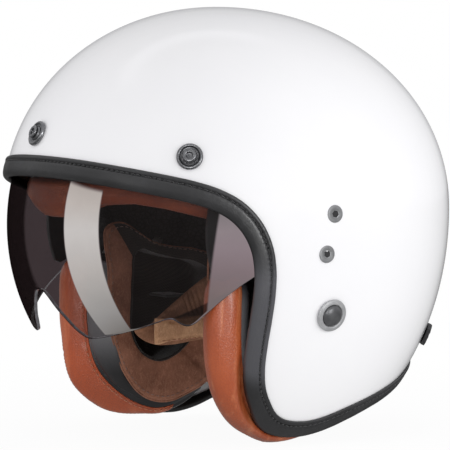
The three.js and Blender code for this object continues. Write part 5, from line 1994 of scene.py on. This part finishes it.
def finish_pads():
    crease_pad()
    grid, grid_normals = grids(pad, len(pad_zones), PAD_COLS)
    subdivide(pad)
    lip = pad_zones.index(ON_LIP)
    last = len(pad_zones) - 1 - pad_zones[::-1].index(ON_FACE)

    def binding(name, row, count, radius, rise):
        line = resampled(grid[row], grid_normals[row], count, closed=True)
        return to_object(name, cord(*line, radius=radius, rise=rise))

    rim = binding("cheek_pad_binding_left", last - 1, count=300, radius=0.6, rise=0.05)
    ear = binding("cheek_pad_ear_binding_left", lip, count=200, radius=0.9, rise=0.15)
    parts = stitches(
        grid[last - 4], grid_normals[last - 4], length=2.4, gap=1.2, rise=0.1, closed=True
    )
    sewing = joined("cheek_pad_stitches_left", parts)
    for piece, materials in (
        (pad, (FABRIC, FABRIC_DARK)), (rim, (FABRIC,)), (ear, (FABRIC_DARK,)),
        (sewing, (THREAD_BROWN,)),
    ):
        for obj, side in both_sides(piece):
            finish(obj, "cheek_pad_" + side, *materials, detail=piece is not pad)


# (y, z) outline of the suede flap over the lower rear of the ear opening
FLAP = [
    [-25, -76.5], [-15, -74], [-8, -68.5], [4, -59.5], [16, -51], [27, -44.5], [35, -43.5],
    [40, -50], [41, -62], [38, -74], [30, -82], [14, -85], [0, -86.5], [-10, -86], [-20, -82],
]


def build_flap():
    """The flap, gathered into four ribs."""
    outline, middle = spaced_flat(FLAP, 160, closed=True), np.array([14.0, -66.0])
    rings = []
    for t in [*np.linspace(0.05, 0.97, 30), 1.0]:
        y, z = (middle + (outline - middle) * t).T
        slant = y + 0.35 * (z + 60)
        ribs = sum(bell(slant - centre, 0.75) for centre in (10.5, 14.0, 17.5, 21.0))
        ribs = ribs * ease(z, -74, -68) * (1 - ease(z, -55, -50)) * (t < 0.95)
        wrinkle = value_noise(xyz(y, z * 0.4, 0), 7, 35) * (1 - ease(t, 0.9, 1.0))
        x = 56.3 + 1.5 * ease(t, 0.80, 1.03) ** 2 + 0.75 * ribs - 0.45 * wrinkle
        rings.append(xyz(x, y, z))
    for t in (1.0, 0.9, 0.6, 0.3, 0.08):
        y, z = (middle + (outline - middle) * t).T
        rings.append(xyz(58.9, y, z))
    flap = to_object("cheek_pad_flap_left", tube(rings))
    subdivide(flap)
    for obj, side in both_sides(flap):
        finish(obj, "cheek_pad_" + side, FLAP_SUEDE, detail=True)


# (y, z) outline of the carrier behind the pad
CARRIER = [
    [-27, -17], [-20, -19], [0, -27], [20, -29], [36, -36], [46, -50], [47, -70], [42, -88],
    [30, -99], [14, -104], [0, -105.5], [-9, -103], [-17, -97], [-24, -88], [-27.5, -78],
    [-28.5, -64], [-28.5, -48], [-28.5, -30],
]


def build_carrier():
    outline, middle = spaced_flat(CARRIER, 110, closed=True), np.array([5.0, -62.0])
    grid = middle + (outline[None] - middle) * np.linspace(0.06, 1, 14)[:, None, None]

    def sheet(points, under):
        y, z = points[..., 0], points[..., 1]
        return side_point(y, z, cheek_depth(z, under))

    poles = [sheet(middle, under) for under in (1.8, 3.4)]
    shape = bowl(sheet(grid, 1.8), sheet(grid, 3.4), poles)
    carrier = to_object("pad_carrier_plate_left", shape)
    chamfer(carrier, width=0.4, angle=50)
    for obj, side in both_sides(carrier):
        finish(obj, "pad_carrier_" + side, PLASTIC)


finish_pads()
build_flap()
build_carrier()


# ---- brow band, neck roll and crown liner ----------------------------------------------------
def quilt(obj, shape, seed, unevenness, channel_pitch=None, channel_depth=0.0):
    """Makes the inner face uneven and sews channels across it. Returns its stitch row."""
    rows, cols = shape
    count = rows * cols
    grid, grid_normals = grids(obj, rows, cols, start=count)
    col = np.arange(cols)[None, :]
    up = np.linspace(0, 1, rows)[:, None]
    inside = ease(up, 0.05, 0.16) * ease(1 - up, 0.05, 0.16)
    inside = inside * ease(col, 2, 6) * ease(cols - 1 - col, 2, 6)
    rise = unevenness * value_noise(grid, 9, seed) * inside
    if channel_pitch:
        half = channel_pitch / 2
        near = np.abs((col + half) % channel_pitch - half)
        rise = rise - channel_depth * bell(near, 1.0) * inside
    grid = grid + grid_normals * rise[..., None]
    points = coords(obj)
    points[count : 2 * count] = grid.reshape(-1, 3)
    set_coords(obj, points)
    subdivide(obj)
    return [line[6:-6] for line in resampled(grid[3], grid_normals[3], 300)]


seam_row = quilt(brow, BROW_GRID, seed=41, unevenness=0.28)
finish(brow, "brow_band", LEATHER_BAND)
sewing = joined("brow_band_stitches", stitches(*seam_row, radius=0.3, rise=0.1))
finish(sewing, "brow_band", THREAD_TAN, detail=True)

seam_row = quilt(
    neck, NECK_GRID, seed=42, unevenness=0.35, channel_pitch=16, channel_depth=1.0
)
finish(neck, "neck_roll", FABRIC)
sewing = joined("neck_roll_stitches", stitches(*seam_row, gap=1.2, rise=0.1))
finish(sewing, "neck_roll", THREAD_TAN, detail=True)


def build_crown():
    """Eight sewn panels from the centre out, with a seam round them."""
    azimuth = turn(264)
    ahead = (1 + np.cos(azimuth)) / 2
    rim_z = lerp(-4, 43, ease(ahead, 0.35, 0.62)) - 16 * ease(1 - ahead, 0.6, 1)

    def inner(points, t):
        thick = 1 - 0.85 * ease(t, 0.93, 1.0)
        base = FOAM_TOP + 1.9 + 6.6 * thick
        if t.ndim < 2:  # the pole
            return base
        seam = np.abs(((azimuth * 8 / (2 * np.pi) + 0.5) % 1) - 0.5) / 8 * 2 * np.pi
        seam = seam * np.sin(t * 1.5) * 90
        ring = np.abs(t - 0.42) * 120
        puff = 1.5 * (1 - bell(seam, 5.5)) * (1 - bell(ring, 5.5)) * thick
        puff += 0.25 * value_noise(points, 8, 51) * thick
        return base + puff - 0.3

    shape = dome(
        point_at(azimuth, rim_z, FOAM_TOP), 60,
        lambda points, t: np.full(points.shape[:-1], FOAM_TOP + 2.0), inner, first=0.03,
    )
    finish(to_object("crown_liner_panels", shape), "crown_liner", FABRIC_DARK)


build_crown()

# ---- chin strap ------------------------------------------------------------------------------
SLEEVE_Y = 10.5
SNAP_Y = 55
RING_WIDTH, RING_DEPTH, RING_WIRE = 23, 18, 1.6
STRAP_SNAP = [
    (0, 0), (5.2, 0), (5.6, 0.5), (5.3, 1.3), (4.4, 1.75), (3.4, 1.7), (2.6, 2.2), (1.2, 2.3),
    (0, 2.15),
]


def flat_bar(centre, size, rows, rear_round=0.0):
    """Rings of a flat strap along Y; its rear end may be rounded in side view."""
    (centre_x, centre_y, centre_z), (thick, length, width) = centre, size
    cos, sin = np.cos(turn(40)), np.sin(turn(40))
    section_x = np.sign(cos) * np.abs(cos) ** 0.4 * thick / 2
    section_z = np.sign(sin) * np.abs(sin) ** 0.4 * width / 2
    rings = []
    for i, y in enumerate(np.linspace(-length / 2, length / 2, rows)):
        from_end = min(i, rows - 1 - i)
        thin = [0.55, 0.85, 0.97][from_end] if from_end < 3 else 1.0
        narrow = 1.0
        over = y - (length / 2 - rear_round)
        if rear_round and over > 0:
            narrow = math.sqrt(max(1 - (over / rear_round) ** 2, 0.02))
        if from_end == 0:
            narrow *= 0.985
        rings.append(
            xyz(centre_x + section_x * thin, centre_y + y, centre_z + section_z * narrow)
        )
    return np.array(rings)


def build_sleeve(sign, side):
    """Suede sleeve, slightly puckered, with a row of stitches along each border."""
    strap_x = sign * STRAP_X
    rings = flat_bar((strap_x, SLEEVE_Y, STRAP_Z), (4.3, 48, 16.2), rows=64)
    points = rings.reshape(-1, 3)
    uneven = 0.28 * value_noise(points * [1, 1, 0.6], 7, 61 + sign)
    uneven += 0.16 * value_noise(points, 3.2, 63)
    x, y, z = points.T
    squeeze = 0.3 * bell(np.abs(z - STRAP_Z) - 6.2, 0.8)
    nose = ease(y, -4.0, -13.6)
    z = STRAP_Z + (z - STRAP_Z) * (1 - 0.16 * nose**2) + 0.05 * (y - SLEEVE_Y)
    z = z + 0.25 * value_noise(xyz(0, y, 0), 12, 64)
    x = x + np.sign(x - strap_x) * (uneven - squeeze - 0.2)
    obj = to_object("strap_sleeve_" + side, tube(xyz(x, y, z).reshape(rings.shape)))
    finish(obj, "strap_cover_" + side, SUEDE)
    parts = []
    y = np.linspace(-10, 33, 60)
    for height in (6.3, -6.3):
        for out in (1, -1):
            row = xyz(strap_x + out * 2.12, y, STRAP_Z + height + 0.05 * (y - SLEEVE_Y))
            parts += stitches(row, np.tile([out, 0, 0], (60, 1)))
    sewing = joined("strap_sleeve_stitches_" + side, parts)
    finish(sewing, "strap_cover_" + side, THREAD_TAN, detail=True)


def build_root(sign, side):
    """The strap's root, which lies flat and runs along X in from the rivet."""
    rings = flat_bar((0, 0, 0), (2.0, 44, 17), rows=30)
    rings = rings[..., [1, 2, 0]] + [sign * 83.5, RIVET[1], RIVET[2]]
    finish(to_object("strap_root_web_" + side, tube(rings)), "strap_root_" + side, WEBBING)


def build_d_ring(name, node, x):
    """A D with its straight side forward."""
    angles = np.radians([-90 + 18 * i for i in range(11)])
    outline = [[0, RING_DEPTH * math.cos(a), RING_WIDTH / 2 * math.sin(a)] for a in angles]
    outline += [[0, 0, RING_WIDTH * k] for k in (0.35, 0, -0.35)]
    line = spaced(outline, 150, closed=True)
    tangent = unit(np.roll(line, -1, 0) - np.roll(line, 1, 0))
    out = np.array([[1.0, 0, 0]])
    across = np.cross(tangent, out)
    cos, sin = np.cos(turn(20))[:, None], np.sin(turn(20))[:, None]
    rings = line[:, None, :] + RING_WIRE * (cos * out[:, None, :] + sin * across[:, None, :])
    obj = to_object(name, tube(rings + np.array([x, 46.2, STRAP_Z]), looped=True))
    finish(obj, node, STEEL)


for sign, side in SIDES:
    build_sleeve(sign, side)
    build_root(sign, side)
rings = flat_bar((-STRAP_X, 48.9, STRAP_Z), (1.9, 28, 16), rows=60, rear_round=8.0)
finish(to_object("strap_webbing_right", tube(rings)), "strap_web_right", WEBBING)
rings = flat_bar((STRAP_X, 38.3, STRAP_Z), (1.9, 6.8, 16), rows=16)
finish(to_object("strap_webbing_left", tube(rings)), "strap_web_left", WEBBING)
build_d_ring("d_ring_outer_wire", "d_ring_outer", STRAP_X + 2)
build_d_ring("d_ring_inner_wire", "d_ring_inner", STRAP_X - 2)
turned("strap_snap_cap", "strap_snap", STRAP_SNAP, [-STRAP_X + 1.3, SNAP_Y, STRAP_Z],
       [1, 0, 0], GUNMETAL)

# ---- goggle strap retainer at the nape -------------------------------------------------------
RETAINER_SNAP = [
    (0, 0), (6.4, 0), (6.6, 0.6), (6.2, 1.4), (5.2, 1.85), (4.2, 1.8), (3.2, 2.4), (1.6, 2.6),
    (0, 2.45),
]


def build_retainer():
    """A flap across the nape, broader in the middle, with a groove and stitches round it."""
    up, along = np.linspace(0, 1, 26)[:, None], np.linspace(0, 1, 150)[None, :]
    x = lerp(-59, 59, along)
    middle = 1 - ease(np.abs(x), 16, 24)
    tip = 1 - 0.35 * ease(np.abs(x), 52, 59)
    high, low = -76.5 + (6.5 + 9.5 * middle) * tip, -76.5 - (5.5 + 2.2 * middle) * tip
    z = lerp(low, high, up)
    y = REAR * np.maximum(1 - level(xyz(x, 0, z)), 0) ** (1 / FULLNESS)
    base = xyz(x, y, z)
    from_edge = np.minimum(np.minimum(up, 1 - up) * 14, np.minimum(along, 1 - along) * 110)
    groove = 0.35 * bell(from_edge - 1.7, 0.35)
    outer = lift(base, 3.3 - groove + 0.1 * value_noise(base, 9, 71))
    obj = to_object("goggle_retainer_flap", sheet_pair(outer, lift(base, 1.05)))
    chamfer(obj, width=0.5, angle=45)
    finish(obj, "goggle_retainer", RETAINER)
    border = np.concatenate([
        outer[3, 4:-4], outer[3:-3, -5][1:], outer[-4, 4:-4][::-1][1:],
        outer[3:-3, 4][::-1][1:-1],
    ])
    parts = stitches(border, normal_at(on_shell(border)), length=2.2, closed=True)
    sewing = joined("goggle_retainer_stitches", parts)
    finish(sewing, "goggle_retainer", THREAD_BLACK, detail=True)
    origin = on_surface(0, 131.5, -66)
    turned("retainer_snap_cap", "retainer_snap", RETAINER_SNAP, lift(origin, 3.7),
           normal_at(origin), GUNMETAL)


build_retainer()

# ---- floor and world, in metres --------------------------------------------------------------
WHITE_ROOM, DARK_ROOM = (1, 1, 1), (0.075, 0.056, 0.061)  # seen directly, and through the lens


def build_floor():
    """A glowing white disc that takes a little shade near the helmet."""
    radius, gap = 14.0, 0.0006
    z = min(float(cad_box[0][2]), float(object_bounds()[0][2])) - gap
    mesh = bpy.data.meshes.new("floor")
    rim = [(radius * math.cos(a), radius * math.sin(a), z) for a in turn(64)]
    mesh.from_pydata(rim, [], [tuple(range(64))])
    floor = bpy.data.objects.new("floor", mesh)
    scene.collection.objects.link(floor)
    floor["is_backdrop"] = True

    mat = new_material("floor_pale")
    path = mat.node("LightPath").outputs
    camera_ray = path["Is Camera Ray"]
    passed = mat.fade(path["Transparent Depth"], span=(0.4, 0.6))
    through = mat.mul(camera_ray, by=passed)
    patchy = mat.fade(mat.noise(scale=3, detail=3), span=(0.3, 0.7))
    colour = mat.mix(patchy, base=(0.86, 0.86, 0.865), over=(0.9, 0.9, 0.9))
    diffuse = mat.node("BsdfDiffuse", {"Color": colour})
    unseen = mat.sub(1.0, camera_ray)
    strength = mat.fade(path["Is Glossy Ray"], span=(0, 1), to=(0.8, 0.25))
    strength = mat.add(camera_ray, mat.mul(unseen, by=strength))
    room = mat.mix(through, WHITE_ROOM, DARK_ROOM)
    glow = mat.node("Emission", {"Color": room, "Strength": strength})
    distance = mat.node("VectorMath", {0: mat.coords}, operation="LENGTH").outputs["Value"]
    shade = mat.fade(distance, span=(0.05, 0.5), to=(0.05, 0.0))
    shade = mat.mul(shade, by=mat.sub(1.0, through))
    mat.set(mat.out, mat.node("MixShader", {0: shade, 1: glow, 2: diffuse}))
    mesh.materials.append(mat.owner)


def build_world():
    """A white room to the camera, with separate gradients for light and for reflections."""
    world = bpy.data.worlds.new("studio")
    scene.world = world
    sky = Nodes(world, "World", "Generated")
    path = sky.node("LightPath").outputs
    x, _, z = sky.split()
    light = sky.ramp(sky.fade(z, span=(-1, 1)), [
        (0.0, (0.78, 0.78, 0.80)), (0.35, (0.82, 0.82, 0.84)), (0.5, (0.86, 0.858, 0.875)),
        (0.72, (0.77, 0.767, 0.78)), (1.0, (0.60, 0.60, 0.605)),
    ])
    shine = sky.ramp(sky.fade(z, span=(-1, 1)), [
        (0.0, (0.16, 0.16, 0.17)), (0.42, (0.30, 0.30, 0.31)), (0.56, (0.52, 0.52, 0.53)),
        (0.75, (0.62, 0.62, 0.63)), (1.0, (0.80, 0.80, 0.81)),
    ])
    # a bright arc high on the wearer's right
    arc = sky.mul(
        sky.fade(z, span=(0.79, 0.84), smooth=True),
        by=sky.mul(
            sky.fade(z, span=(0.86, 0.92), to=(1, 0), smooth=True),
            by=sky.fade(x, span=(-0.2, -0.42), smooth=True),
        ),
    )
    shine = sky.mix(arc, shine, over=(1.15, 1.15, 1.18))
    light = sky.mix(path["Is Glossy Ray"], light, shine)
    through = sky.fade(path["Transparent Depth"], span=(0.4, 0.6))
    room = sky.mix(through, WHITE_ROOM, DARK_ROOM)
    colour = sky.mix(path["Is Camera Ray"], light, room)
    sky.set(sky.out, sky.node("Background", {"Color": colour, "Strength": 1.0}))


build_floor()
build_world()


# ---- lights, in metres and watts -------------------------------------------------------------
def light_group(name, objects):
    group = bpy.data.collections.new(name)
    for obj in objects:
        group.objects.link(obj)
    return group


TARGET = Vector((0, 0, 0.13))
LIT = ("cheek_", "edge_trim", "stud_", "rivet_", "side_screw", "brow_band", "strap_")
lit = [
    obj for obj in scene.objects
    if obj.type == "MESH" and obj.name.startswith(LIT) and not obj.hide_render
]
on_shell_only = light_group("lit_by_fill", [shell])
on_details = light_group("lit_by_glint", lit)
on_soft = light_group("lit_by_inner", [o for o in lit if not o.name.startswith("edge_trim")])
on_trim = light_group("lit_by_side", [o for o in lit if o.name.startswith("edge_trim")])


def area(name, location, size, power, glossy=True, receivers=None):
    """An area light aimed at the target; receivers limit what it lights."""
    data = bpy.data.lights.new(name, "AREA")
    data.shape = "RECTANGLE"
    data.size, data.size_y = size
    data.energy = power
    obj = bpy.data.objects.new(name, data)
    scene.collection.objects.link(obj)
    obj.location = location
    obj.rotation_mode = "QUATERNION"
    obj.rotation_quaternion = (TARGET - Vector(location)).to_track_quat("-Z", "Y")
    if not glossy:
        obj.visible_glossy = False
    if receivers:
        obj.light_linking.receiver_collection = receivers


area("key", (1.30, -0.15, 0.30), size=(0.9, 0.9), power=3.9, glossy=False)
area("front", (0.35, -1.35, 0.25), size=(0.35, 0.9), power=0.9)
area("rear", (1.0, 1.0, 0.25), size=(1.0, 1.0), power=6.2, glossy=False,
     receivers=on_shell_only)
area("fill", (-0.85, -1.0, 0.22), size=(1.0, 1.0), power=4.4, glossy=False,
     receivers=on_shell_only)
area("glint", (1.28, 0.06, 0.16), size=(0.18, 0.9), power=7.2, receivers=on_details)
area("inner", (1.05, -0.80, 0.20), size=(0.3, 0.7), power=3.4, receivers=on_soft)
area("side", (1.30, 0.12, 0.02), size=(0.25, 0.9), power=2.6, receivers=on_trim)

# ---- camera ----------------------------------------------------------------------------------
CAMERA_AZIMUTH, CAMERA_ELEVATION = math.radians(59.91), math.radians(2.74)
CAMERA_DISTANCE = 1825.2
SHIFT_RIGHT, SHIFT_UP = -4.99, 9.95  # how far the helmet's centre sits off the view's axis


def build_camera():
    cos_up = math.cos(CAMERA_ELEVATION)
    back = np.array([
        math.sin(CAMERA_AZIMUTH) * cos_up, -math.cos(CAMERA_AZIMUTH) * cos_up,
        math.sin(CAMERA_ELEVATION),
    ])
    right = np.array([math.cos(CAMERA_AZIMUTH), math.sin(CAMERA_AZIMUTH), 0])
    upward = np.cross(back, right)
    eye = back * CAMERA_DISTANCE - SHIFT_RIGHT * right - SHIFT_UP * upward
    data = bpy.data.cameras.new("camera")
    data.lens, data.sensor_width, data.clip_start, data.clip_end = 243.4, 36.0, 0.05, 100.0
    camera = bpy.data.objects.new("camera", data)
    scene.collection.objects.link(camera)
    matrix = Matrix(np.stack([right, upward, back], 1).tolist()).to_4x4()
    matrix.translation = Vector(((eye + CENTRE) * MM).tolist())
    camera.matrix_world = matrix
    scene.camera = camera


build_camera()
scene.view_settings.view_transform = "Standard"
scene.view_settings.look = "None"

boxes = {"cad_box": cad_box, "visual_box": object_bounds()}
boxes = {name: [[float(x) for x in corner] for corner in box] for name, box in boxes.items()}
